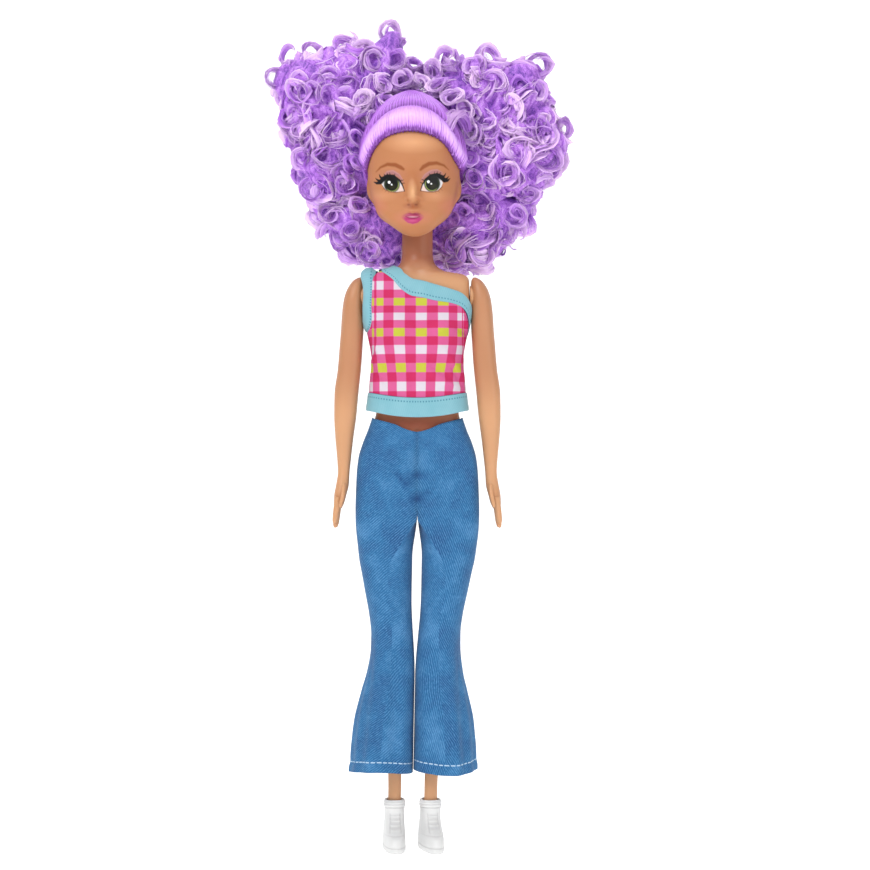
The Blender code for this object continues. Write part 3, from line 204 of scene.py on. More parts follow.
# The legs, the feet and the shoes
LEG_HALF_DEPTH = 9.6 * MM
LEG_LEAN = -2.2 * MM
LEG_LEAN_TOP = 120.0 * MM
FOOT_LENGTH = 23.0 * MM
FOOT_HALF_WIDTH = 4.3 * MM
SHOE_HEIGHT = 18.5 * MM
SHOE_WALL = 0.9 * MM
VAMP_SHARE = 0.8
SOLE_THICKNESS = 1.5 * MM
LEFT_FOOT_YAW = math.radians(12)
RIGHT_FOOT_YAW = math.radians(5)
LIMB_POWER = 0.9
SHOE_POWER = 0.85
SHOE_ROWS = 120
LEG_SHARES = (
    (1.078, 0.480, 0.760, 0.290, 0.290),
    (1.060, 0.385, 0.880, 0.780, 0.780),
    (1.036, 0.350, 0.940, 0.880, 1.040),
    (1.000, 0.350, 0.970, 0.880, 1.100),
    (0.945, 0.350, 0.975, 0.870, 1.090),
    (0.925, 0.340, 0.970, 0.850, 1.070),
    (0.904, 0.085, 0.955, 0.880, 1.055),
    (0.880, 0.080, 0.935, 0.890, 1.040),
    (0.855, 0.075, 0.915, 0.900, 1.010),
    (0.797, 0.105, 0.870, 0.880, 0.950),
    (0.720, 0.125, 0.790, 0.830, 0.860),
    (0.650, 0.120, 0.700, 0.760, 0.760),
    (0.600, 0.125, 0.655, 0.720, 0.660),
    (0.540, 0.125, 0.650, 0.600, 0.680),
    (0.460, 0.135, 0.640, 0.520, 0.720),
    (0.380, 0.160, 0.590, 0.440, 0.640),
    (0.300, 0.185, 0.500, 0.350, 0.480),
    (0.220, 0.195, 0.425, 0.270, 0.330),
    (0.150, 0.195, 0.415, 0.250, 0.310),
    (0.105, 0.190, 0.418, 0.270, 0.420),
)
SHOE_SHARES = (
    (0.000, 0.625, 0.325, 0.900),
    (0.060, 0.655, 0.345, 1.000),
    (0.170, 0.650, 0.345, 1.000),
    (0.275, 0.610, 0.342, 0.985),
    (0.360, 0.520, 0.338, 0.975),
    (0.440, 0.405, 0.330, 0.950),
    (0.550, 0.290, 0.310, 0.920),
    (0.680, 0.220, 0.285, 0.890),
    (0.810, 0.190, 0.262, 0.890),
    (0.900, 0.200, 0.262, 0.985),
    (0.960, 0.198, 0.258, 0.985),
    (1.000, 0.175, 0.240, 0.930),
)

# The clothes
CLOTH_GAP = 0.5 * MM
TOP_GAP = 0.8 * MM
TOP_CLOTH = 0.5 * MM
DENIM = 0.6 * MM
HEM_PROUD = 2.3 * MM
HEM_FADE_SHARE = 0.3
PLACKET_PROUD = 1.7 * MM
PLACKET_HALF_TURN = math.radians(11)
PLACKET_FADE = math.radians(24)
JEANS_EASE = 14.0 * MM
JEANS_HEM = 30.0 * MM
# Height of the hem's stitches above the edge, in millimetres
STITCH_HEIGHT = 3.9
CROTCH_Z = 131.0 * MM
EASE_SHARES = (
    (0.910, 0.008, 0.020, 0.010, 0.010),
    (0.855, 0.015, 0.035, 0.030, 0.030),
    (0.797, 0.030, 0.070, 0.050, 0.060),
    (0.720, 0.040, 0.060, 0.060, 0.070),
    (0.650, 0.060, 0.070, 0.080, 0.090),
    (0.610, 0.085, 0.080, 0.090, 0.130),
    (0.560, 0.080, 0.080, 0.150, 0.130),
    (0.500, 0.100, 0.160, 0.220, 0.140),
    (0.435, 0.130, 0.340, 0.320, 0.220),
    (0.370, 0.140, 0.560, 0.420, 0.310),
    (0.300, 0.170, 0.770, 0.510, 0.430),
    (0.250, 0.140, 0.890, 0.570, 0.540),
    (0.210, 0.150, 0.960, 0.600, 0.590),
)
TOP_EDGE_SHARES = (
    (0, 10.95), (16, 11.75), (45, 12.75), (64, 13.05), (80, 13.25), (90, 13.65), (97, 14.30), (110, 15.30),
    (128, 15.95), (138, 16.05), (140.4, 12.80), (143, 12.30), (150, 11.75), (165, 11.30), (180, 11.20),
)
# Turns at which the edge rises steeply from the armpit to the shoulder strap, and at their mirror
TOP_EDGE_TURNS = (138.4, 138.8, 139.2, 139.6, 140.0, 140.4, 219.6, 220.0, 220.4, 220.8, 221.2, 221.6)
NECKLINE_SHARES = (
    (0, 11.05, 11.85), (16, 11.85, 12.80), (30, 12.40, 13.35), (45, 12.75, 13.80), (64, 12.97, 14.20),
    (80, 13.12, 14.60), (90, 13.46, 15.06), (97, 14.05, 15.70), (110, 15.12, 16.50), (128, 15.85, 16.95),
    (150, 16.40, 17.30), (180, 16.50, 17.45),
)
ARMHOLE_SHARES = {"level": 13.4, "inner": (22.0, 1.35, 1.90, 1.0), "outer": (46.5, 2.25, 3.05, 0.68)}
TOP_SQUEEZE_ROWS = 1.5
TAPE_POWER = 0.45
HEM_ROWS = (7.00, 8.00)
TOP_BOTTOM_ROW = 8.08
WAIST_SHARES = ((0, 6.75), (35, 6.60), (65, 6.36), (80, 6.06), (90, 5.85))
BACK_WAIST_ROW = 6.50

# The masses of curls: outlines seen from the front, angle up from the doll's left and reach
LEFT_BUNCH_SHARES = (
    (0, 0.92), (9, 0.86), (30, 0.84), (47, 0.98), (61, 1.02), (75, 0.99), (90, 0.96), (105, 1.02), (120, 1.06),
    (135, 1.13), (150, 1.00), (180, 0.88), (210, 1.01), (225, 1.19), (240, 1.07), (270, 0.94), (300, 1.02), (320,
        0.93),
    (338, 0.95), (350, 0.95), (360, 0.92),
)
RIGHT_BUNCH_SHARES = (
    (0, 0.84), (20, 0.88), (45, 1.10), (61, 1.33), (77, 0.97), (92, 0.96), (107, 0.95), (120, 0.97),
    (135, 1.11), (151, 1.12), (165, 0.98), (180, 0.85), (200, 0.86), (221, 0.96), (243, 1.17), (270, 1.10),
    (290, 1.12), (309, 1.28), (330, 0.98), (360, 0.84),
)
BACK_HAIR_SHARES = (
    (0, 0.78), (6, 0.95), (15, 1.03), (30, 0.66), (60, 0.40), (90, 0.35), (120, 0.40), (150, 0.66),
    (165, 1.03), (174, 0.94), (180, 0.87), (195, 0.70), (213, 0.61), (240, 0.40), (270, 0.33), (300, 0.40),
    (327, 0.61), (345, 0.68), (360, 0.78),
)
FULL_SHARE = 0.55
# The masses: their outline, its reach, their middle, half depth and the span of their heights
Mass = namedtuple("Mass", "name outline reach middle deep span")
MASSES = (
    Mass("left", LEFT_BUNCH_SHARES, 30.0 * MM, (30.0 * MM, 14.0 * MM, 277.0 * MM), 16.0 * MM,
         (251.4 * MM, 317.5 * MM)),
    Mass("right", RIGHT_BUNCH_SHARES, 30.0 * MM, (-27.0 * MM, 14.0 * MM, 283.0 * MM), 16.0 * MM,
         (251.4 * MM, 317.5 * MM)),
    Mass("back", BACK_HAIR_SHARES, 44.0 * MM, (2.5 * MM, 16.0 * MM, 238.0 * MM), 13.0 * MM,
         (226.0 * MM, 251.4 * MM)),
)

# One curl: its middle, the axis it coils round, its radius and band, how many fibres and turns it has, where its
# tail leads, its tone and the width of one fibre
Curl = namedtuple("Curl", "centre axis radius band fibres turns tail tone width")
CURL_STEPS = 22
FIBRE_TRIANGLES = 6 * (CURL_STEPS - 1)
PIECE_TRIANGLES = 185000
LOCK_THICKNESS = 0.24 * MM
LOCK_SHARE = 1.15
TAIL_SHARE = 0.30
HERO_FIBRES = 20
HERO_BAND_SHARE = 0.75
RIM_FIBRE_SHARE = 0.75
# How many of the curls each mass gets, as shares, and the head's own room that they keep out of
CURL_SHARES = {"left": 0.34, "right": 0.35, "back": 0.31}
HEAD_ROOM_MIDDLE = (-1.5 * MM, -5.5 * MM, 263 * MM)
HEAD_ROOM_REACH = (20.0, 20.0, 29.0)
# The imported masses: how far they lie inside their outline, the height of their waves and of their ridges
CORE_INSET = 1.9 * MM
CORE_WAVE = 1.7 * MM
CORE_RIDGE = 1.3 * MM


def smooth(rows, at):
    """Values at given places of a table, on a cubic that never overshoots its rows."""
    rows = np.asarray(rows, float)
    at = np.clip(np.asarray(at, float), rows[0, 0], rows[-1, 0])
    place, value = rows[:, 0], rows[:, 1:]
    span = np.diff(place)
    slope = np.diff(value, axis=0) / span[:, None]
    product = slope[:-1] * slope[1:]
    total = np.where(product > 0, slope[:-1] + slope[1:], 1)
    middle = np.where(product > 0, 2 * product / total, 0)
    tangent = np.vstack([slope[:1], middle, slope[-1:]])
    k = np.clip(np.searchsorted(place, at, side="right") - 1, 0, len(span) - 1)
    u = ((at - place[k]) / span[k])[..., None]
    h = span[k][..., None]
    start = (1 + 2 * u) * (1 - u) ** 2 * value[k] + u * (1 - u) ** 2 * h * tangent[k]
    end = u**2 * (3 - 2 * u) * value[k + 1] + u**2 * (u - 1) * h * tangent[k + 1]
    return np.moveaxis(start + end, -1, 0)


def ease(low, high, value):
    """A smooth step from 0 at low to 1 at high: 3u^2 - 2u^3 of the share between them."""
    u = np.clip((value - low) / (high - low), 0, 1)
    return u * u * (3 - 2 * u)


def bell(value, middle, width):
    """A bell curve of height 1: e to the minus square of the distance over the width."""
    return np.exp(-(((value - middle) / width) ** 2))


def bowed(wave, power):
    """A cosine or sine raised to a power, with its sign kept: it rounds or squares an oval."""
    return np.sign(wave) * np.abs(wave) ** power


def full_turn(count):
    """Turns spread evenly once round a form."""
    return np.linspace(0, 2 * math.pi, count, endpoint=False)


def from_face(turn):
    """The turn away from the middle of the face, from minus half a turn to half a turn."""
    return (turn - math.pi / 2 + math.pi) % (2 * math.pi) - math.pi


def unit(vectors, least=0.0):
    """Vectors divided by their length plus a least length."""
    return vectors / (np.linalg.norm(vectors, axis=-1, keepdims=True) + least)


def ripple(value, seed, waves=6, first=1.0):
    """A soft repeatable noise from -1 to 1: a sum of sines of rising pitch and falling height."""
    value = np.asarray(value, float)
    draw = np.random.default_rng(seed)
    total = 0.0
    weight = 0.0
    for k in range(waves):
        pitch = first * (1.6**k) * draw.uniform(0.85, 1.15)
        total = total + np.sin(value * pitch + draw.uniform(0, 2 * math.pi)) / (1 + 0.6 * k)
        weight += 1 / (1 + 0.6 * k)
    return total / weight * 1.6


def wrapped(rows, turn, level, detail):
    """A point of a form: x is the side reach times the cosine, y the front or back reach times the sine.

    Both are raised to the level's power, and heights blend by the squared sine and cosine of the turn.
    """
    side_z, wide, front_z, front, back_z, back, lean, power = smooth(rows, level)
    c, s = np.cos(turn), np.sin(turn)
    before = s > 0
    x = lean + wide * bowed(c, power)
    y = -np.where(before, front, back) * bowed(s, power)
    z = side_z * c**2 + np.where(before, front_z, back_z) * s**2
    return detail(np.stack(np.broadcast_arrays(x, y, z), -1), lean, before)


def proud_of(rows, turn, level, detail, proud):
    """A point of a form moved out along its normal, the cross product of its two small steps."""
    whisker = 0.02
    turn, level = np.broadcast_arrays(np.asarray(turn, float), np.asarray(level, float))
    here = wrapped(rows, turn, level, detail)
    round_about = wrapped(rows, turn + whisker, level, detail) - wrapped(rows, turn - whisker, level, detail)
    upward = wrapped(rows, turn, level + whisker, detail) - wrapped(rows, turn, level - whisker, detail)
    normal = unit(np.cross(upward, round_about), TINY)
    return here + normal * np.asarray(proud, float)[..., None] + np.array([0, STAND_Y, 0])


def body_rows():
    """The trunk's table in metres, numbered, with the neck's own radius on top."""
    rows = []
    for side, wide, front_z, front, back_z, back, power in BODY_SHARES:
        rows.append((side * BODY_TOP, wide * BODY_HALF_WIDTH, front_z * BODY_TOP,
                     front * BODY_HALF_DEPTH, back_z * BODY_TOP, back * BODY_HALF_DEPTH, 0, power))
    for side, front_z, back_z, share in NECK_SHARES:
        radius = share * NECK_RADIUS
        rows.append((side * BODY_TOP, radius, front_z * BODY_TOP, radius, back_z * BODY_TOP, radius, 0, 1))
    return [(i, *row) for i, row in enumerate(rows)]


def body_detail(point, lean, before):
    """The bust: two soft bells on the front."""
    x, y, z = point[..., 0], point[..., 1], point[..., 2]
    across = bell(np.abs(x), BUST_SHARES["x"] * BODY_HALF_WIDTH, BUST_RADIUS)
    upright = bell(z, BUST_SHARES["z"] * BODY_TOP, BUST_RADIUS)
    swell = np.where(before, BUST_PROUD * across * upright, 0) * ease(0, BUST_RADIUS, -y)
    return np.stack([x, y - swell, z], -1)


def head_rows():
    """The head's table in metres, numbered, from the rim of the neck hole up."""
    side, front, back = (CHIN_Z + share * HEAD_HEIGHT for share in NECK_HOLE_SHARES)
    hole = NECK_RADIUS + PART_GAP
    rows = [(side, hole, front, hole, back, hole, 0, 1)]
    for side, wide, front_z, front, back_z, back in HEAD_SHARES:
        rows.append((CHIN_Z + side * HEAD_HEIGHT, wide * HEAD_HALF_WIDTH,
                     CHIN_Z + front_z * HEAD_HEIGHT, front * HEAD_HALF_DEPTH,
                     CHIN_Z + back_z * HEAD_HEIGHT, back * HEAD_HALF_DEPTH,
                     HEAD_LEAN * (HEAD_LEAN_START_SHARE + (1 - HEAD_LEAN_START_SHARE) * side), 1))
    return [(i, *row) for i, row in enumerate(rows)]


def head_detail(point, lean, before):
    """Nose, lips, eye hollows and ears, each a bell added to the smooth head."""
    x, y, z = point[..., 0] - lean, point[..., 1], point[..., 2]
    up = (z - CHIN_Z) / HEAD_HEIGHT
    side = x / HEAD_HALF_WIDTH
    above = np.where(up > NOSE_SHARES["z"], NOSE_SHARES["rise"], NOSE_SHARES["fall"])
    nose = NOSE_PROUD * bell(side, 0, NOSE_SHARES["wide"]) * bell(up, NOSE_SHARES["z"], above)
    lips = LIP_PROUD * bell(side, 0, LIP_SHARES["wide"]) * bell(up, LIP_SHARES["z"], LIP_SHARES["high"])
    eyes = EYE_SOCKET * bell(np.abs(side), EYE_SHARES["x"], EYE_SHARES["wide"])
    eyes = eyes * bell(up, EYE_SHARES["z"], EYE_SHARES["high"])
    forward = np.where(before, nose + lips - eyes, 0) * ease(0, HEAD_HALF_DEPTH, -y)
    ears = EAR_PROUD * bell(y / HEAD_HALF_DEPTH, EAR_SHARES["y"], EAR_SHARES["deep"])
    ears = ears * bell(up, EAR_SHARES["z"], EAR_SHARES["high"]) * ease(0, HEAD_HALF_WIDTH, np.abs(x))
    return np.stack([point[..., 0] + np.sign(x) * ears, y - forward, z], -1)


# Finer forms of the face: height in millimetres, place and width across and up as shares, and how far the
# middle bends down away from its place across. In order: eyeballs, lid folds, nostrils, wings of the nose, trough
# of the upper lip, upper lip, lower lip, the line between them, chin and cheeks
FACE_TOUCHES = (
    (0.75, 0.435, 0.20, 0.382, 0.065, 0.0),
    (-0.30, 0.44, 0.26, 0.463, 0.016, 0.10),
    (-0.65, 0.095, 0.045, 0.232, 0.014, 0.0),
    (0.7, 0.150, 0.055, 0.252, 0.026, 0.0),
    (-0.25, 0.0, 0.035, 0.205, 0.020, 0.0),
    (0.45, 0.0, 0.19, 0.166, 0.013, 0.0),
    (0.60, 0.0, 0.15, 0.122, 0.017, 0.0),
    (-0.75, 0.0, 0.155, 0.143, 0.009, 0.0),
    (0.55, 0.0, 0.26, 0.045, 0.045, 0.0),
    (0.45, 0.60, 0.24, 0.235, 0.085, 0.0),
)


def face_detail(point, lean, before):
    """The head with finer touches: eyeballs, nostrils, parted lips, chin, cheeks and ear shells."""
    x, y, z = point[..., 0] - lean, point[..., 1], point[..., 2]
    up = (z - CHIN_Z) / HEAD_HEIGHT
    side = x / HEAD_HALF_WIDTH
    touches = 0.0
    for high, at_side, wide, at_up, tall, bend in FACE_TOUCHES:
        middle = at_up - bend * (np.abs(side) - at_side) ** 2
        touches = touches + high * MM * bell(np.abs(side), at_side, wide) * bell(up, middle, tall)
    forward = np.where(before, touches, 0) * ease(0, 0.7 * HEAD_HALF_DEPTH, -y)
    shell = bell(y / HEAD_HALF_DEPTH, EAR_SHARES["y"] - 0.02, 0.055) * bell(up, EAR_SHARES["z"] + 0.006, 0.036)
    dent = 0.85 * MM * shell * ease(0.6 * HEAD_HALF_WIDTH, HEAD_HALF_WIDTH, np.abs(x))
    ahead = np.where(before, 1, 0) * ease(0, 0.7 * HEAD_HALF_DEPTH, -y)
    jaw = np.where(x < 0, 1.4, 0.6) * MM * ease(-6 * MM, 2 * MM, -y) * bell(up, 0.135, 0.08)
    jaw = jaw * ease(0.1, 0.6, np.abs(side))
    drop = 1.1 * MM * ahead * bell(up, 0.0, 0.07)
    moved = head_detail(point, lean, before)
    return moved + np.stack([np.sign(x) * (jaw - dent), -forward, -drop], -1)


BODY = body_rows()
HEAD = head_rows()


def body(turn, level, proud=0.0):
    """A point on the trunk, or proud of it."""
    return proud_of(BODY, turn, level, body_detail, proud)


def head(turn, level, proud=0.0):
    """A point on the plain head, or proud of it."""
    return proud_of(HEAD, turn, level, head_detail, proud)


def oval(inner, outer, front, back, height, turn, power=LIMB_POWER):
    """A level section from its four sides: a cosine and a sine, each raised to a power."""
    c, s = np.cos(turn), np.sin(turn)
    x = (inner + outer) / 2 + (outer - inner) / 2 * bowed(c, power)
    y = -np.where(s > 0, front, back) * bowed(s, power)
    return np.stack(np.broadcast_arrays(x, y, height), -1)


def shoulder_plane():
    """Where the arm's flat inner side stands off the trunk."""
    return wrapped(BODY, np.array(0.0), np.array(SHOULDER_ROW), body_detail)[0] + SHOULDER_GAP


def ankle_x():
    """Middle of the ankle before the legs lean."""
    low = LEG_SHARES[-1]
    return (low[1] + low[2]) / 2 * BODY_HALF_WIDTH


def leaning(points, side):
    """Mirrors points to their side, leans them as both legs slant, and sets them on the doll's stand."""
    points = np.array(points) * np.array([side, 1, 1])
    points[..., 0] += LEG_LEAN * np.clip(1 - points[..., 2] / LEG_LEAN_TOP, 0, None)
    points[..., 1] += STAND_Y
    return points


def yawed(points, side, yaw):
    """Turns points about the ankle's upright axis."""
    points = np.array(points)
    x, y = points[..., 0] - ankle_x(), points[..., 1].copy()
    yaw = yaw * side
    points[..., 0] = ankle_x() + x * math.cos(yaw) - y * math.sin(yaw)
    points[..., 1] = x * math.sin(yaw) + y * math.cos(yaw)
    return points


def foot_section(height, inset, turn):
    """The shoe's section at a height, or the foot inside it, with more room under the slanting vamp."""
    toe, heel, wide = smooth(SHOE_SHARES, height / SHOE_HEIGHT)
    wide = wide * FOOT_HALF_WIDTH - inset
    x = ankle_x()
    vamp = 1 + VAMP_SHARE * np.sin(math.pi * np.clip(height / SHOE_HEIGHT, 0, 1))
    return oval(x - wide, x + wide, toe * FOOT_LENGTH - vamp * inset, heel * FOOT_LENGTH - inset,
                height, turn, SHOE_POWER)


def seen(points):
    """Where points appear in the front view, in picture steps across and down from its top left corner."""
    away = (points[..., 1] - STAND_Y + VIEW_DISTANCE) / VIEW_DISTANCE
    across = PICTURE_MIDDLE + (points[..., 0] - VIEW_X) / away / STEP
    down = PICTURE_MIDDLE - (points[..., 2] - VIEW_Z) / away / STEP
    return across, down


def placed(across, down, y):
    """The point at depth y that appears at a place of the front view."""
    away = (y - STAND_Y + VIEW_DISTANCE) / VIEW_DISTANCE
    x = VIEW_X + (np.asarray(across, float) - PICTURE_MIDDLE) * STEP * away
    z = VIEW_Z - (np.asarray(down, float) - PICTURE_MIDDLE) * STEP * away
    return np.stack(np.broadcast_arrays(x, y, z), -1)


def linear(red, green, blue):
    """A screen colour, 0 to 255, as linear light: ((v + 0.055) / 1.055)^2.4 above the foot of the curve."""
    v = np.array([red, green, blue], float) / 255
    return tuple(np.where(v <= 0.04045, v / 12.92, ((v + 0.055) / 1.055) ** 2.4))


def make_mesh(name, points, face_sets, paint, marks=None, cut=None):
    """A mesh object from points and faces, with numbers marked on points and a flat cut on corners."""
    mesh = bpy.data.meshes.new(name)
    points = np.asarray(points, float).reshape(-1, 3)
    corners = np.concatenate([np.asarray(f).reshape(-1) for f in face_sets]).astype(np.int32)
    sizes = np.concatenate([np.full(len(f), np.asarray(f).shape[1]) for f in face_sets])
    starts = np.concatenate([[0], np.cumsum(sizes)[:-1]]).astype(np.int32)
    mesh.vertices.add(len(points))
    mesh.vertices.foreach_set("co", points.astype(np.float32).ravel())
    mesh.loops.add(len(corners))
    mesh.loops.foreach_set("vertex_index", corners)
    mesh.polygons.add(len(sizes))
    mesh.polygons.foreach_set("loop_start", starts)
    mesh.update(calc_edges=True)
    for title, value in (marks or {}).items():
        value = np.asarray(value, np.float32)
        if value.ndim > 1 and value.shape[-1] == 3:
            value = np.concatenate([value, np.ones_like(value[..., :1])], -1)
            mesh.attributes.new(title, "FLOAT_COLOR", "POINT").data.foreach_set("color", value.ravel())
        else:
            mesh.attributes.new(title, "FLOAT", "POINT").data.foreach_set("value", value.ravel())
    if cut is not None:
        mesh.uv_layers.new(name="cut").data.foreach_set("uv", np.asarray(cut, np.float32).ravel())
    mesh.shade_smooth()
    mesh.materials.append(paint)
    made = bpy.data.objects.new(name, mesh)
    bpy.context.scene.collection.objects.link(made)
    return made


def grid_faces(rows, columns, first=0, wrap=True, wrap_rows=False, flip=False):
    """The four-sided faces of a grid of points, with where each corner lies in rows and columns."""
    j = np.arange(columns if wrap else columns - 1)
    i = np.arange(rows if wrap_rows else rows - 1)
    i, j = np.meshgrid(i, j, indexing="ij")
    steps = ((0, 0), (0, 1), (1, 1), (1, 0))
    if flip:
        steps = steps[::-1]
    place = np.stack([np.stack([i + a, j + b], -1) for a, b in steps], 2).reshape(-1, 4, 2)
    faces = first + (place[..., 0] % rows) * columns + place[..., 1] % columns
    return faces, place


def fan(ring, middle, flip=False):
    """Triangles from a ring of points to a middle point."""
    ring = np.asarray(ring)
    following = np.roll(ring, -1)
    if flip:
        ring, following = following, ring
    return np.stack([ring, following, np.full(len(ring), middle)], -1)


def lofted(name, rings, paint, marks=None, closed=False, cut=None, flip=False):
    """A closed piece through a stack of rings: its ends are closed by fans, or joined to each other."""
    rings = np.asarray(rings, float)
    rows, columns = rings.shape[:2]
    faces, place = grid_faces(rows, columns, wrap_rows=closed, flip=flip)
    points = rings.reshape(-1, 3)
    marks = {title: np.asarray(value, float).reshape(rows * columns, -1)
             for title, value in (marks or {}).items()}
    sets = [faces]
    corner_cut = None
    if cut is not None:
        cut = np.asarray(cut, float)
        corner_cut = cut[np.minimum(place[..., 0], cut.shape[0] - 1), place[..., 1]].reshape(-1, 2)
    if not closed:
        ends = np.stack([rings[0].mean(0), rings[-1].mean(0)])
        count = rows * columns
        points = np.vstack([points, ends])
        sets += [fan(np.arange(columns), count, not flip),
                 fan(np.arange(count - columns, count), count + 1, flip)]
        marks = {t: np.vstack([v, v[:columns].mean(0), v[-columns:].mean(0)]) for t, v in marks.items()}
        if corner_cut is not None:
            corner_cut = np.vstack([corner_cut, np.zeros((6 * columns, 2))])
    marks = {t: (v[:, 0] if v.shape[1] == 1 else v) for t, v in marks.items()}
    return make_mesh(name, points, sets, paint, marks, corner_cut)


def facing_out(made):
    """Turns a closed mesh's faces outwards."""
    work = bmesh.new()
    work.from_mesh(made.data)
    bmesh.ops.recalc_face_normals(work, faces=work.faces)
    work.to_mesh(made.data)
    work.free()
    made.data.shade_smooth()
    return made


def joined(name, pieces):
    """Several pieces as one mesh."""
    bpy.ops.object.select_all(action="DESELECT")
    for piece in pieces:
        piece.select_set(True)
    bpy.context.view_layer.objects.active = pieces[0]
    bpy.ops.object.join()
    pieces[0].name = pieces[0].data.name = name
    return pieces[0]


def applied(made):
    """A piece with its modifiers made part of its mesh."""
    graph = bpy.context.evaluated_depsgraph_get()
    mesh = bpy.data.meshes.new_from_object(made.evaluated_get(graph), preserve_all_data_layers=True,
                                           depsgraph=graph)
    made.modifiers.clear()
    made.data = mesh
    mesh.name = made.name
    return made


def tube(path, radii, sides):
    """Rings along a path: at each step a circle in the plane square to the path, carried without twist."""
    path = np.asarray(path, float)
    along = unit(np.gradient(path, axis=0))
    side = unit(np.cross(along, np.array([0.13, 0.21, 0.97])))
    other = np.cross(along, side)
    turn = full_turn(sides)[None, :, None]
    radii = np.asarray(radii, float)[:, None, None]
    return path[:, None] + radii * (side[:, None] * np.cos(turn) + other[:, None] * np.sin(turn))


def carried(paths, across):
    """Two directions square to many paths: the given one made square, and the one square to both."""
    along = unit(np.gradient(paths, axis=1), TINY)
    side = unit(across - along * np.sum(across * along, 2, keepdims=True), TINY)
    return side, np.cross(along, side)


def repeated(marks, sides):
    """Numbers marked on the steps of many paths, given to every corner of their sections."""
    return {title: np.repeat(np.asarray(value)[:, :, None], sides, 2).reshape(-1)
            for title, value in marks.items()}


def strands(name, paths, across, widths, paint, marks):
    """Many fibres as flat three-sided tubes: path, a side direction and a width for each step of each fibre."""
    count, steps = paths.shape[:2]
    side, lift = carried(paths, across)
    half = widths[..., None] / 2
    ring = np.stack([paths + side * half, paths + lift * half * 0.9, paths - side * half], 2)
    points = ring.reshape(-1, 3)
    start = (np.arange(count)[:, None] * steps + np.arange(steps - 1)[None]) * 3
    start = start.reshape(-1, 1)
    quads = []
    for k in range(3):
        low, high = k, (k + 1) % 3
        quads.append(np.hstack([start + low, start + high, start + 3 + high, start + 3 + low]))
    first = (np.arange(count) * steps * 3)[:, None]
    last = first + (steps - 1) * 3
    ends = np.vstack([np.hstack([first + 2, first + 1, first]), np.hstack([last, last + 1, last + 2])])
    return make_mesh(name, points, [np.vstack(quads), ends], paint, repeated(marks, 3))


def ribbons(name, paths, across, widths, thick, paint, marks):
    """Many flat closed bands: at each step an ellipse of eight points, wide one way and thin the other.

    The flat cut holds the running length of a band and the place across it, shifted from band to band.
    """
    sides = 8
    count, steps = paths.shape[:2]
    side, lift = carried(paths, across)
    turn = full_turn(sides)[:, None]
    wide = side[:, :, None] * (widths / 2)[..., None, None] * np.cos(turn)
    high = lift[:, :, None] * thick / 2 * np.sin(turn)
    points = (paths[:, :, None] + wide + high).reshape(-1, 3)
    start = ((np.arange(count)[:, None] * steps + np.arange(steps - 1)[None]) * sides).reshape(-1, 1, 1)
    k = np.arange(sides)[None, :, None]
    following = (k + 1) % sides
    corner = np.concatenate([k, following, following + sides, k + sides], -1)
    quads = (start + corner).reshape(-1, 4)
    run = np.concatenate([np.zeros((count, 1)), np.cumsum(np.linalg.norm(np.diff(paths, axis=1), axis=2), 1)], 1)
    shift = (np.arange(count) * 0.37)[:, None]
    place = np.broadcast_arrays((run + shift)[..., None], 0.5 + 0.5 * np.cos(turn[:, 0]) + 0 * run[..., None])
    place = np.stack(place, -1)
    cut = place.reshape(-1, 2)[quads].reshape(-1, 2)
    first = (np.arange(count) * steps * sides)[:, None]
    rim = np.arange(sides)[None]
    ends = np.vstack([first + rim[:, ::-1], first + (steps - 1) * sides + rim])
    cut = np.concatenate([cut, place.reshape(-1, 2)[ends].reshape(-1, 2)])
    return make_mesh(name, points, [quads, ends], paint, repeated(marks, sides), cut)


class Field:
    """A socket of a material that can be reckoned with like a number."""

    def __init__(self, shop, socket):
        self.shop, self.socket = shop, socket

    def reckon(self, operation, *others, clamp=False):
        settings = {"operation": operation, "use_clamp": clamp}
        return self.shop.node("ShaderNodeMath", settings, (self, *others))

    def __add__(self, other):
        return self.reckon("ADD", other)

    def __sub__(self, other):
        return self.reckon("SUBTRACT", other)

    def __rsub__(self, other):
        return self.shop.node("ShaderNodeMath", {"operation": "SUBTRACT"}, (other, self))

    def __mul__(self, other):
        return self.reckon("MULTIPLY", other)

    def __truediv__(self, other):
        return self.reckon("DIVIDE", other)

    def __pow__(self, other):
        return self.reckon("POWER", other)

    __radd__, __rmul__ = __add__, __mul__

    def sine(self):
        return self.reckon("SINE")

    def size(self):
        return self.reckon("ABSOLUTE")

    def fraction(self):
        return self.reckon("FRACT")

    def held(self):
        return self.reckon("ADD", 0.0, clamp=True)

    def over(self, edge, soft):
        """0 below the edge and 1 above it, with a soft step."""
        return ((self - (edge - soft / 2)) / soft).held()


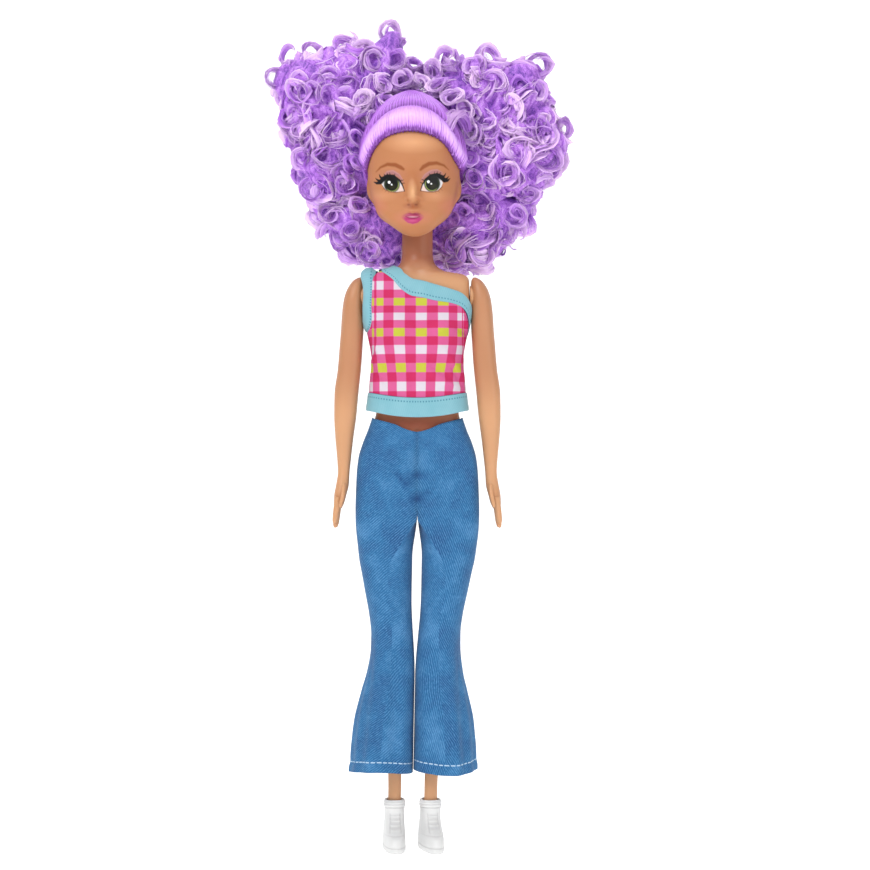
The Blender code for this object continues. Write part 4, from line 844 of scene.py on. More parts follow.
class Shop:
    """Makes the nodes of one material."""

    def __init__(self, name):
        self.material = bpy.data.materials.new(name)
        self.material.use_nodes = True
        self.tree = self.material.node_tree
        self.shader = self.tree.nodes["Principled BSDF"]

    def node(self, kind, settings=None, inputs=(), out=0):
        made = self.tree.nodes.new(kind)
        for title, value in (settings or {}).items():
            if title == "stops":
                ramp = made.color_ramp
                while len(ramp.elements) < len(value):
                    ramp.elements.new(0.5)
                for element, (place, colour) in zip(ramp.elements, value):
                    element.position = place
                    element.color = (*colour, 1.0)
            else:
                setattr(made, title, value)
        pairs = inputs.items() if isinstance(inputs, dict) else enumerate(inputs)
        for title, value in pairs:
            self.feed(made.inputs[title], value)
        return Field(self, made.outputs[out])

    def feed(self, socket, value):
        if isinstance(value, Field):
            self.tree.links.new(value.socket, socket)
        elif value is not None:
            if isinstance(value, (tuple, list)) and len(value) == 3 and socket.type == "RGBA":
                value = (*value, 1.0)
            socket.default_value = value

    def coords(self):
        return self.node("ShaderNodeTexCoord", out="Object")

    def cut(self):
        """The two coordinates of the flat cut."""
        both = self.node("ShaderNodeUVMap", {"uv_map": "cut"})
        split = self.node("ShaderNodeSeparateXYZ", None, (both,))
        return both, split, Field(self, split.socket.node.outputs["Y"])

    def mark(self, title, colour=False):
        return self.node("ShaderNodeAttribute", {"attribute_name": title}, out="Color" if colour else "Fac")

    def noise(self, vector, scale, detail=2.0, rough=0.5, distort=0.0):
        inputs = {"Vector": vector, "Scale": scale, "Detail": detail, "Roughness": rough, "Distortion": distort}
        return self.node("ShaderNodeTexNoise", None, inputs, out="Fac")

    def mix(self, share, first, second, blend="MIX"):
        made = self.tree.nodes.new("ShaderNodeMix")
        made.data_type, made.blend_type = "RGBA", blend
        self.feed(made.inputs[0], share)
        self.feed(made.inputs[6], first)
        self.feed(made.inputs[7], second)
        return Field(self, made.outputs[2])

    def ramp(self, value, stops):
        return self.node("ShaderNodeValToRGB", {"stops": stops}, (value,), out="Color")

    def bump(self, height, strength, distance):
        inputs = {"Strength": strength, "Distance": distance, "Height": height}
        return self.node("ShaderNodeBump", None, inputs)

    def finish(self, **inputs):
        for title, value in inputs.items():
            self.feed(self.shader.inputs[title.replace("_", " ")], value)
        return self.material


def skin_paint(name, colour, roughness):
    """Satin moulded plastic: an even tone with a faint cloud, deeper where the points are marked as shaded."""
    shop = Shop(name)
    place = shop.coords()
    cloud = shop.noise(place, 90.0, 3.0)
    grain = shop.noise(place, 2600.0, 2.0)
    darker = tuple(c * 0.90 for c in colour)
    tone = shop.mix(cloud, darker, colour)
    tone = shop.mix(shop.mark("shade"), tone, tuple(c * share for c, share in zip(colour, (0.40, 0.14, 0.11))))
    rough = roughness + (cloud - 0.5) * 0.12
    return shop.finish(Base_Color=tone, Roughness=rough, Normal=shop.bump(grain, 0.08, 0.0001),
                       Subsurface_Weight=0.12, Subsurface_Radius=(0.9, 0.4, 0.2), Subsurface_Scale=0.002,
                       Specular_IOR_Level=0.4)


def face_paint():
    """Soft vinyl with printed features: the colours and the gloss are marked on the face's points."""
    shop = Shop("painted_face")
    colour = shop.mark("ink", colour=True)
    gloss = shop.mark("gloss")
    grain = shop.noise(shop.coords(), 2600.0, 2.0)
    return shop.finish(Base_Color=colour, Roughness=0.50 - gloss * 0.12,
                       Normal=shop.bump(grain, 0.06, 0.0001), Specular_IOR_Level=0.26,
                       Subsurface_Weight=0.10, Subsurface_Radius=(0.9, 0.4, 0.2), Subsurface_Scale=0.002)


def hair_paint(name, dark, middle, light, roughness=0.34):
    """Glossy fibre: a tone marked on the points runs from deep shade to pale shine, broken by fine noise."""
    shop = Shop(name)
    tone = shop.mark("tone")
    streak = shop.noise(shop.coords(), 900.0, 2.0)
    value = (tone + (streak - 0.5) * 0.22).held()
    colour = shop.ramp(value, ((0.0, dark), (0.45, middle), (1.0, light)))
    return shop.finish(Base_Color=colour, Roughness=roughness, Specular_IOR_Level=0.5)


def lock_paint(name, dark, middle, light):
    """A lock of many fine fibres: streaks run along its flat cut in tone and relief, and its edges fray."""
    shop = Shop(name)
    _, along, across = shop.cut()
    tone = shop.mark("tone")
    stretched = shop.node("ShaderNodeCombineXYZ", None, (along * 130.0, across * 6.5, along * 0.0), out="Vector")
    streak = shop.noise(stretched, 1.0, 4.0, 0.62)
    value = (tone + (streak - 0.5) * 0.95).held()
    colour = shop.ramp(value, ((0.0, dark), (0.45, middle), (1.0, light)))
    rim = ((across - 0.5).size() * 2.0) ** 3.0
    shown = (streak * 1.5 + 0.44 - rim * 0.95).over(0.35, 0.15)
    return shop.finish(Base_Color=colour, Roughness=0.42, Specular_IOR_Level=0.4, Alpha=shown,
                       Normal=shop.bump(streak, 0.6, 0.0003))


def mass_paint(name, dark, middle, light):
    """Packed hair under the loose curls: swirling bands of fibres in tone and relief."""
    shop = Shop(name)
    place = shop.coords()
    tone = shop.mark("tone")
    inputs = {"Vector": place, "Scale": 95.0, "Distortion": 16.0, "Detail": 4.0, "Detail Scale": 1.6}
    swirl = shop.node("ShaderNodeTexWave", None, inputs, out="Fac")
    fine = shop.node("ShaderNodeTexWave", None, {**inputs, "Scale": 420.0, "Distortion": 22.0}, out="Fac")
    value = (tone + (swirl - 0.5) * 0.22 + (fine - 0.5) * 0.26).held()
    colour = shop.ramp(value, ((0.0, dark), (0.5, middle), (1.0, light)))
    return shop.finish(Base_Color=colour, Roughness=0.42, Specular_IOR_Level=0.4,
                       Normal=shop.bump(swirl * 0.5 + fine * 0.5, 0.5, 0.0006))


def check_paint(doll):
    """Checked cotton: pink stripes half a check wide cross to crimson, and the open squares alternate."""
    shop = Shop("gingham_cotton")
    both, across, up = shop.cut()
    weave = shop.noise(both, 60.0, 3.0, 0.7)
    across_at = across + (weave - 0.5) * 0.02
    up_at = up + (weave - 0.5) * 0.02
    stripe = ((across_at + 0.5).fraction() - 0.5).size().over(0.25, 0.035)
    band = ((up_at + 0.5).fraction() - 0.5).size().over(0.25, 0.04)
    every_other = ((up_at * 0.5 + 0.25).fraction() - 0.5).over(0.0, 0.02)
    open_square = shop.mix(every_other, tuple(doll.check_white), tuple(doll.check_yellow))
    pink = tuple(doll.check_pink)
    crimson = tuple(doll.check_crimson)
    column = shop.mix(stripe, open_square, pink)
    row = shop.mix(stripe, pink, crimson)
    colour = shop.mix(band, column, row)
    threads_u = (across * 2 * math.pi * 24).sine()
    threads_v = (up * 2 * math.pi * 18).sine()
    fleck = (threads_u * 0.5 + 0.5) * 0.03 + shop.noise(both, 30.0, 4.0, 0.8) * 0.03
    colour = shop.mix(fleck, colour, (0.88, 0.62, 0.74))
    height = threads_u * 0.5 + threads_v * 0.5
    return shop.finish(Base_Color=colour, Roughness=0.85, Specular_IOR_Level=0.15,
                       Normal=shop.bump(height, 0.35, 0.00008))


def binding_paint(doll):
    """Folded tape: slanting ribs along it, a dotted line of stitches and a dark line along its edge beside the
    gingham.
    """
    shop = Shop("aqua_tape")
    _, along, across = shop.cut()
    ribs = ((along * 1000.0 + across * 2.4) * (2 * math.pi / 0.75)).sine()
    cloud = shop.noise(shop.coords(), 160.0, 3.0)
    line = 1 - ((across - 0.22).size()).over(0.040, 0.03)
    dots = ((along * (1000.0 / 1.15)).fraction() - 0.5).size().over(0.22, 0.12)
    stitch = line * (1 - dots)
    edge = 1 - across.over(0.02, 0.03)
    tape = shop.mix((ribs * 0.10 + cloud * 0.7).held(), tuple(doll.tape_shade), tuple(doll.tape))
    tape = shop.mix(stitch * 0.9, tape, linear(52, 118, 138))
    tape = shop.mix(edge, tape, linear(70, 45, 95))
    height = ribs * 0.25 - line * 0.9 + stitch * 0.5
    return shop.finish(Base_Color=tape, Roughness=0.78, Sheen_Weight=0.2,
                       Normal=shop.bump(height, 0.45, 0.00012))


def denim_paint(doll, name, slant):
    """Washed twill: slanting ribs broken into short dashes over clouds of fading, a pale hem stitch and painted
    shade in the seat's creases.
    """
    shop = Shop(name)
    both, across, up = shop.cut()
    u, v = across * 1000.0, up * 1000.0
    cloud = shop.noise(both, 110.0, 4.0, 0.6)
    patch = shop.noise(both, 38.0, 2.0)
    wobble = shop.noise(both, 600.0, 2.0)
    c, s = math.cos(slant), math.sin(slant)
    over_rib = (u * s + v * c) * (2 * math.pi / 0.76) + wobble * 4.2
    rib = over_rib.sine() * 0.5 + 0.5
    turned = ((u * c - v * s) * 0.85, (u * s + v * c) * 2.3, u * 0.0)
    lengthwise = shop.node("ShaderNodeCombineXYZ", None, turned, out="Vector")
    dash = ((shop.noise(lengthwise, 1.0, 2.0, 0.6) - 0.5) * 2.6 + 0.5).held()
    thread = (rib * (0.12 + dash * 0.95)).held()
    fade = ((cloud - 0.5) * 0.9 + (patch - 0.5) * 0.8 + 0.5).held()
    deep, mid, pale = tuple(doll.denim_deep), tuple(doll.denim), tuple(doll.denim_pale)
    ground = shop.ramp(fade, ((0.15, deep), (0.55, mid), (0.95, pale)))
    colour = shop.mix(thread * 0.66, ground, pale)
    colour = shop.mix((1 - rib) * (1 - dash) * 0.55, colour, deep)
    low = shop.mark("hem")
    line = 1 - (low - STITCH_HEIGHT).size().over(0.20, 0.2)
    stitch = line * (1 - ((u / 2.1).fraction() - 0.5).size().over(0.36, 0.1))
    colour = shop.mix(stitch * 0.85, colour, linear(190, 215, 235))
    # Painted shade in the seat's creases, where the points are marked
    shade = shop.mark("shade")
    colour = shop.mix(shade, colour, deep)
    height = thread * 0.7 + stitch * 0.8
    return shop.finish(Base_Color=colour, Roughness=0.88, Sheen_Weight=0.08, Specular_IOR_Level=0.25,
                       Normal=shop.bump(height, 0.5, 0.00016))


def shoe_paint():
    """White vinyl, a little cloudy, with painted shade in its hollows."""
    shop = Shop("white_vinyl")
    place = shop.coords()
    cloud = shop.noise(place, 260.0, 3.0)
    hollow = shop.mark("hollow")
    colour = shop.mix(cloud * 0.5, (0.72, 0.72, 0.71), (0.62, 0.62, 0.63))
    colour = shop.mix(hollow, colour, (0.42, 0.40, 0.41))
    return shop.finish(Base_Color=colour, Roughness=0.42 + cloud * 0.12, Specular_IOR_Level=0.45,
                       Normal=shop.bump(shop.noise(place, 1500.0, 2.0), 0.1, 0.0001),
                       Subsurface_Weight=0.15, Subsurface_Radius=(0.5, 0.5, 0.5), Subsurface_Scale=0.002)


def lay(colour, mask, ink):
    """A coat over a colour, used for the print and for painted light and shade: the colour times what the mask
    leaves, plus the coat's colour times the mask.
    """
    mask = np.clip(mask, 0, 1)[..., None]
    return colour * (1 - mask) + np.asarray(ink) * mask


def disc(u, v, middle, reach, soft=0.6):
    """A mask for an oval: 1 inside, falling to 0 over a soft rim."""
    away = np.hypot((u - middle[0]) / reach[0], (v - middle[1]) / reach[1])
    return np.clip((1 - away) * min(reach) / soft + 0.5, 0, 1)


def stroke(u, v, path, soft=0.5):
    """A mask for a brush stroke: the distance to a line of points, against a half width that runs along it."""
    path = np.asarray(path, float)
    best = np.full(u.shape, -9.0)
    for (x0, y0, w0), (x1, y1, w1) in zip(path[:-1], path[1:]):
        dx, dy = x1 - x0, y1 - y0
        t = np.clip(((u - x0) * dx + (v - y0) * dy) / (dx * dx + dy * dy), 0, 1)
        away = np.hypot(u - x0 - t * dx, v - y0 - t * dy)
        best = np.maximum(best, (w0 + t * (w1 - w0)) - away)
    return np.clip(best / soft + 0.5, 0, 1)


def between(u, v, top, bottom, soft=0.5):
    """A mask for what lies under one curve and over another, both tables of places across and down."""
    top, bottom = np.asarray(top, float), np.asarray(bottom, float)
    first, last = max(top[0, 0], bottom[0, 0]), min(top[-1, 0], bottom[-1, 0])
    high = np.interp(u, top[:, 0], top[:, 1])
    low = np.interp(u, bottom[:, 0], bottom[:, 1])
    inside = np.minimum(np.minimum(v - high, low - v), np.minimum(u - first, last - u) + soft / 2)
    return np.clip(inside / soft + 0.5, 0, 1)


# The printed eyes in the front view: lids as (across, down), strokes as (across, down, half width)
EYES = (
    {
        "top": ((381.9, 183.8), (383.3, 181.0), (386.2, 177.8), (392.5, 176.9), (399.0, 180.1), (401.8, 184.7),
                (404.1, 190.7)),
        "bottom": ((381.9, 184.4), (383.2, 186.8), (385.6, 189.4), (389.8, 191.2), (396.2, 191.9), (402.7, 191.2),
                   (404.1, 190.8)),
        "iris": (391.9, 184.2),
        "glints": ((389.2, 182.3, 1.35), (391.7, 184.6, 0.75)),
        "lid": ((404.5, 191.2, 0.4), (402.7, 185.8, 0.6), (399.7, 180.3, 0.9), (393.3, 175.9, 1.35),
                (387.3, 176.0, 1.8), (383.3, 178.9, 2.5), (380.3, 182.4, 2.1), (376.9, 183.2, 1.3), (373.8, 182.0,
                    0.3)),
        "lashes": (((383.0, 179.5, 1.4), (380.3, 176.9, 0.9), (379.2, 174.4, 0.25)),
                   ((380.8, 181.0, 1.3), (377.7, 180.2, 0.9), (375.5, 178.3, 0.25)),
                   ((387.8, 175.6, 0.6), (387.0, 172.9, 0.2)), ((390.3, 175.0, 0.5), (389.5, 172.6, 0.2)),
                   ((385.3, 176.4, 0.8), (383.9, 173.9, 0.2)), ((400.2, 181.0, 0.6), (403.6, 179.8, 0.2)),
                   ((401.8, 183.6, 0.5), (404.9, 182.9, 0.2)), ((394.5, 175.8, 0.5), (394.9, 173.6, 0.2))),
        "under": ((382.3, 185.6, 0.35), (384.8, 189.5, 0.35), (389.8, 191.9, 0.35), (396.5, 192.6, 0.35),
                  (403.6, 191.3, 0.3)),
        "ticks": (((383.8, 188.6, 0.3), (382.0, 190.2, 0.15)), ((386.2, 190.6, 0.3), (384.8, 192.3, 0.15)),
                  ((389.0, 191.9, 0.25), (388.2, 193.4, 0.1))),
        "shadow": ((383.5, 177.5, 0.4), (387.5, 173.3, 1.3), (393.0, 172.5, 1.5), (399.0, 176.0, 1.1),
                   (402.8, 181.6, 0.5)),
        "brow": ((376.0, 172.0, 0.25), (380.6, 167.3, 0.9), (387.6, 164.3, 1.45), (395.6, 165.0, 1.75),
                 (400.6, 167.4, 1.75), (403.4, 169.2, 1.1)),
        "in": 1,
    },
    {
        "top": ((420.8, 190.3), (422.6, 185.2), (425.8, 179.9), (430.9, 176.6), (436.9, 175.9), (440.6, 178.3),
                (442.6, 182.6)),
        # Soft vinyl with printed features and painted light and shade: the colours and the gloss are marked on
        # the face's points.
        "bottom": ((420.8, 190.4), (422.0, 190.6), (426.8, 191.3), (432.8, 191.6), (437.9, 190.2), (441.3, 186.8),
                   (442.6, 183.4)),
        "iris": (432.1, 183.6),
        "glints": ((428.4, 181.7, 1.35), (431.3, 183.8, 0.75)),
        "lid": ((420.5, 190.9, 0.4), (422.3, 184.9, 0.6), (425.5, 179.3, 0.9), (431.0, 175.3, 1.35),
                (437.3, 174.8, 1.8), (441.6, 177.3, 2.4), (444.6, 180.5, 2.1), (447.4, 180.6, 1.3), (450.1, 178.5,
                    0.3)),
        "lashes": (((441.6, 177.4, 1.4), (444.4, 175.9, 0.9), (445.8, 173.2, 0.25)),
                   ((443.8, 179.6, 1.3), (446.8, 178.6, 0.9), (448.8, 176.3, 0.25)),
                   ((436.6, 174.2, 0.6), (437.5, 171.4, 0.2)), ((434.0, 174.3, 0.5), (434.7, 171.6, 0.2)),
                   ((439.2, 174.9, 0.8), (440.8, 172.2, 0.2)), ((424.9, 180.6, 0.6), (421.3, 179.3, 0.2)),
                   ((423.3, 183.4, 0.5), (420.2, 182.5, 0.2)), ((429.8, 175.4, 0.5), (429.3, 173.3, 0.2))),
        "under": ((420.9, 190.9, 0.3), (426.8, 191.9, 0.35), (432.8, 192.3, 0.35), (438.2, 190.9, 0.35),
                  (442.3, 186.6, 0.35)),
        "ticks": (((440.8, 188.9, 0.3), (442.5, 190.5, 0.15)), ((438.3, 190.8, 0.3), (439.6, 192.5, 0.15)),
                  ((435.4, 191.9, 0.25), (436.2, 193.5, 0.1))),
        "shadow": ((421.3, 181.3, 0.5), (425.3, 175.9, 1.1), (431.3, 172.3, 1.5), (437.3, 171.6, 1.3),
                   (442.5, 174.3, 0.4)),
        "brow": ((420.6, 169.7, 1.1), (423.6, 166.7, 1.75), (429.0, 163.8, 1.75), (436.5, 163.0, 1.45),
                 (443.9, 165.4, 0.9), (448.8, 169.9, 0.25)),
        "in": -1,
    },
)
LIPS_TOP = ((400.0, 216.0), (404.0, 214.2), (407.6, 212.8), (410.0, 212.6), (412.6, 213.6), (415.4, 212.6),
            (418.2, 212.7), (421.8, 214.1), (425.6, 216.0))
LIPS_LINE = ((400.0, 216.2), (406.2, 217.2), (412.8, 217.8), (419.6, 217.2), (425.6, 216.2))
LIPS_BOTTOM = ((400.0, 216.4), (403.6, 219.8), (407.6, 222.8), (412.8, 224.2), (418.0, 222.7), (422.0, 219.6),
               (425.6, 216.4))
# Soft tints of the face: middle, reach, softness, strength, colour and, for the lips, gloss. In order they
# are the blush of both cheeks, painted light on the forehead, painted shade on one temple, painted light
# under both eyes, painted shade on the bridge of the nose, a painted highlight on it, and painted shade on the
# chin
FACE_BLUSH_LIGHT_SHADE = (
    ((376.0, 206), (9.0, 8.0), 9.0, 0.22, (225, 120, 105)),
    ((449.5, 206), (9.0, 8.0), 9.0, 0.22, (225, 120, 105)),
    ((414.0, 142.0), (18.0, 6.0), 13.0, 0.48, (240, 186, 140)),
    ((449.0, 158.0), (5.0, 16.0), 9.0, 0.30, (172, 98, 78)),
    ((381.5, 195.5), (8.0, 3.5), 8.0, 0.30, (232, 172, 132)),
    ((436.0, 195.5), (8.0, 3.5), 8.0, 0.30, (232, 172, 132)),
    ((412.4, 178.0), (10.0, 14.0), 12.0, 0.34, (160, 92, 52)),
    ((412.3, 192.0), (3.2, 8.0), 5.0, 0.46, (250, 200, 150)),
    ((412.0, 237.0), (24.0, 11.0), 11.0, 0.35, (150, 92, 52)),
)
# Painted shade along both sides of the face, where the ears meet it: a stroke as (across, down, half width) and
# its strength
FACE_SIDE_SHADE = (
    (((457.5, 183, 1.0), (453.7, 206, 1.2)), 0.45),
    (((367.6, 183, 1.0), (373.4, 206, 1.2)), 0.40),
)
# Painted shade under the nose and in both nostrils: middle, reach, softness, strength and colour
NOSE_SHADE = (
    ((412.4, 205.6), (7.2, 2.6), 3.0, 0.62, (140, 70, 42)),
    ((408.6, 204.7), (1.5, 0.9), 1.0, 0.7, (112, 50, 32)),
    ((416.2, 204.7), (1.5, 0.9), 1.0, 0.7, (112, 50, 32)),
)
# A painted highlight on the lower lip, then the teeth: middle, reach, softness, strength, colour and gloss
LIP_HIGHLIGHT_AND_TEETH = (
    ((412.6, 220.8), (4.6, 0.9), 1.4, 0.45, (206, 100, 146), 0.4),
    ((412.8, 216.9), (4.6, 0.55), 0.7, 0.85, (196, 150, 162), 0.3),
)
MOUTH_LINE = ((405.8, 216.6, 0.25), (409.0, 217.9, 0.55), (412.8, 218.3, 0.6), (416.6, 217.9, 0.55),
              (419.8, 216.6, 0.25))


def face_print_and_shade(points, skin):
    """The colours and gloss of the face's print and of its painted light and shade, laid coat by coat where each
    point is seen from the front.
    """
    u, v = seen(points)
    front = ease(-0.2 * HEAD_HALF_DEPTH, 0.35 * HEAD_HALF_DEPTH, STAND_Y - points[..., 1])
    colour = np.broadcast_to(np.asarray(skin), (*u.shape, 3)).copy()
    gloss = np.zeros(u.shape)

    def coat(mask, ink, shine=0.0):
        nonlocal colour, gloss
        colour = lay(colour, mask * front, linear(*ink))
        gloss = np.maximum(gloss, mask * front * shine)

    def tint(middle, reach, soft, strength, ink, shine=0.0):
        coat(disc(u, v, middle, reach, soft) * strength, ink, shine)

    for listed in FACE_BLUSH_LIGHT_SHADE:
        tint(*listed)
    for path, strength in FACE_SIDE_SHADE:
        coat(stroke(u, v, path, 4.0) * strength, (132, 72, 44))
    for listed in NOSE_SHADE:
        tint(*listed)
    for eye in EYES:
        iris = eye["iris"]
        coat(disc(u, v, (iris[0], 174.5), (12.0, 5.0), 5.0) * 0.22, (158, 104, 108))
        coat(stroke(u, v, eye["shadow"], 2.4) * 0.42, (136, 100, 140))
        coat(stroke(u, v, [(a, b - 1.8, w * 0.3) for a, b, w in eye["shadow"]], 0.8) * 0.4, (190, 150, 168))
        opening = between(u, v, eye["top"], eye["bottom"])
        coat(opening, (206, 204, 206), 0.9)
        coat(opening * disc(u, v, (iris[0] + 10 * eye["in"], 189.5), (4.5, 3.6), 2.5) * 0.6, (225, 180, 160))
        coat(opening * disc(u, v, iris, (8.0, 8.4), 1.0), (5, 6, 8), 0.9)
        ring = disc(u, v, (iris[0] + 0.1 * eye["in"], iris[1] + 0.2), (6.9, 7.2), 0.6)
        coat(opening * disc(u, v, iris, (7.5, 7.8), 0.6), (52, 58, 44), 0.9)
        coat(opening * ring, (30, 38, 20), 0.9)
        lower = np.clip((v - iris[1] + 0.7 * (u - iris[0]) * eye["in"] - 0.5) / 4.0, 0, 1)
        coat(opening * ring * lower * 0.9, (146, 160, 84), 0.9)
        coat(opening * disc(u, v, (iris[0] + 0.1 * eye["in"], iris[1] + 0.2), (6.2, 6.5), 0.5), (10, 17, 9), 0.9)
        coat(opening * disc(u, v, (iris[0], iris[1] - 0.2), (4.9, 5.2), 0.8), (2, 3, 3), 0.9)
        coat(opening * disc(u, v, (iris[0] + 0.4, iris[1] + 2.6), (3.4, 2.2), 3.0) * 0.35, (60, 56, 24), 0.9)
        coat(opening * (1 - np.clip((v - 178.5) / 2.5, 0, 1)) * 0.9, (4, 4, 6), 0.9)
        for across, down, reach in eye["glints"]:
            coat(disc(u, v, (across, down), (reach, reach), 0.5), (250, 250, 252), 0.9)
        coat(stroke(u, v, eye["under"]) * 0.75, (66, 40, 36), 0.3)
        coat(stroke(u, v, eye["lid"]), (4, 4, 8), 0.4)
        for lash in eye["lashes"]:
            coat(stroke(u, v, lash, 0.45), (5, 5, 9), 0.4)
        for tick in eye["ticks"]:
            coat(stroke(u, v, tick, 0.4) * 0.5, (90, 55, 50))
        coat(stroke(u, v, [(a, b, w * 1.12) for a, b, w in eye["brow"]], 1.2) * 0.95, (138, 72, 32))
    tint((412.8, 217.6), (15.0, 6.0), 6.0, 0.35, (205, 120, 110))
    mouth = disc(u, v, (412.7, 218.5), (9.6, 7.0), 4.0)
    coat(between(u, v, LIPS_TOP, LIPS_LINE, 1.2) * mouth * 0.9, (160, 58, 100), 0.35)
    coat(between(u, v, LIPS_LINE, LIPS_BOTTOM, 1.2) * mouth * 0.95, (168, 42, 104), 0.35)
    for listed in LIP_HIGHLIGHT_AND_TEETH:
        tint(*listed)
    coat(stroke(u, v, MOUTH_LINE, 0.7) * 0.9, (120, 30, 66), 0.3)
    return colour, gloss


def crowded(count, crowd):
    """Turns round the head, packed closely over the face and widely behind: a running total of a bell."""
    fine = np.linspace(0, 2 * math.pi, 4001)
    weight = 1 + crowd * (1 - ease(0.8, 1.35, np.abs(from_face(fine))))
    total = np.concatenate([[0], np.cumsum((weight[1:] + weight[:-1]) / 2)])
    return np.interp(np.linspace(0, total[-1], count, endpoint=False), total, fine)


def hairline(turn):
    """Level of the hairline at each turn."""
    signed = from_face(turn)
    right, left = smooth(HAIRLINE_SHARES, np.abs(signed) / math.pi)
    return np.where(signed > 0, right, left) + 1


def placket(turn):
    """Extra room over the fastening strips, at the middle of the back."""
    away = np.abs(turn - 1.5 * math.pi)
    return PLACKET_PROUD * (1 - ease(PLACKET_HALF_TURN, PLACKET_FADE, away))


def mirrored_edge(table, turn):
    """A level that depends on the turn from the left side, the same on front and back."""
    return smooth(table, np.degrees(np.where(turn > math.pi, 2 * math.pi - turn, turn)))


def waist(turn):
    """Level of the jeans' waist edge: dipped in front, high at the sides."""
    degrees = np.degrees(turn)
    folded = np.where(degrees > 90, 180 - degrees, degrees)
    before = smooth(WAIST_SHARES, folded)[0]
    behind = WAIST_SHARES[0][1] + (BACK_WAIST_ROW - WAIST_SHARES[0][1]) * np.abs(np.sin(turn))
    return np.where(np.sin(turn) > 0, before, behind)


def arc_lengths(points):
    """The running length round each ring of a stack, one more value than the ring has points."""
    closed = np.concatenate([points, points[:, :1]], 1)
    step = np.linalg.norm(np.diff(closed, axis=1), axis=2)
    return np.concatenate([np.zeros((len(points), 1)), np.cumsum(step, 1)], 1)


# Heights of the light rows of the gingham, and how wide one check is at some heights
CHECK_ROWS = ((170.3, -1), (177.5, 0), (184.7, 1), (191.6, 2), (198.1, 3), (204.1, 4), (209.6, 5), (216.0, 6),
              (223.0, 7))
CHECK_WIDTHS = ((174, 7.3), (178, 7.4), (185, 7.7), (192, 8.3), (198, 8.9), (204, 8.9), (210, 8.4), (217, 7.6))
# Above this row the checks run straight up; behind, all are this wide
STRAIGHT_CHECK_ROW = 10.6
BACK_CHECK_WIDTH = 8.2
# Folds of the top: start, end (across and height in millimetres), half width and height
TOP_FOLDS = (
    ((17.5, 204.0), (21.5, 200.0), 1.6, 1.5),
    ((15.0, 199.5), (21.0, 197.2), 1.1, -0.7),
    ((3.5, 184.5), (15.5, 176.5), 1.3, 1.0),
    ((6.5, 181.5), (16.5, 174.9), 0.9, -0.5),
    ((10.5, 190.5), (17.5, 182.0), 1.1, 0.6),
    ((13.0, 186.0), (17.0, 178.0), 0.8, -0.5),
    ((-18.0, 197.0), (-14.0, 188.5), 1.0, 0.55),
    ((-17.0, 190.0), (-13.5, 180.0), 0.9, 0.5),
    ((-16.0, 184.0), (-12.0, 175.5), 0.8, -0.4),
    ((-6.0, 201.0), (6.0, 201.6), 2.2, 0.7),
    ((-9.0, 186.0), (-3.0, 178.5), 1.2, 0.35),
    ((-3.0, 192.0), (4.0, 186.0), 1.5, 0.30),
)


def folds(points, listed, behind=False):
    """Heights of folds: each a bell across a line, tapered to nothing at its two ends."""
    x, z = points[..., 0] / MM, points[..., 2] / MM
    total = np.zeros(x.shape)
    for (x0, z0), (x1, z1), wide, high in listed:
        dx, dz = x1 - x0, z1 - z0
        length = math.hypot(dx, dz)
        along = ((x - x0) * dx + (z - z0) * dz) / length**2
        across = ((x - x0) * dz - (z - z0) * dx) / length
        total += high * bell(across, 0, wide) * ease(-0.25, 0.3, along) * (1 - ease(0.7, 1.25, along))
    facing = ease(-2.0 * MM, 3.0 * MM, STAND_Y - points[..., 1])
    return total * MM * (1 - facing if behind else facing)


def tape_section(sides):
    """The flat rounded loop of a folded tape: the share of its width, and of its thickness, at each corner."""
    section = full_turn(sides)
    return 0.5 - 0.5 * bowed(np.cos(section), TAPE_POWER), 0.5 + 0.5 * bowed(np.sin(section), TAPE_POWER)


def tape(name, low, high, turn, base, thick, paint, droop=None):
    """A folded tape round the trunk, between two levels."""
    share, lift = tape_section(28)
    level = low[None] + share[:, None] * (high - low)[None]
    around = np.broadcast_to(turn, level.shape)
    rings = body(around, level, base + thick * lift[:, None])
    if droop is not None:
        rings[..., 2] += droop[None]
    along = arc_lengths(rings[:1])[0]
    cut = np.stack(np.broadcast_arrays(along[None], share[:, None]), -1)
    return facing_out(lofted(name, rings, paint, closed=True, cut=cut))


def in_mass(mass, across, up):
    """The outline's reach of a mass of curls at a place of the front view, as a share: 1 on the outline."""
    dx, dz = across - mass.middle[0], up - mass.middle[2]
    angle = np.degrees(np.arctan2(dz, dx)) % 360
    return np.hypot(dx, dz) / (mass.reach * smooth(mass.outline, angle)[0])


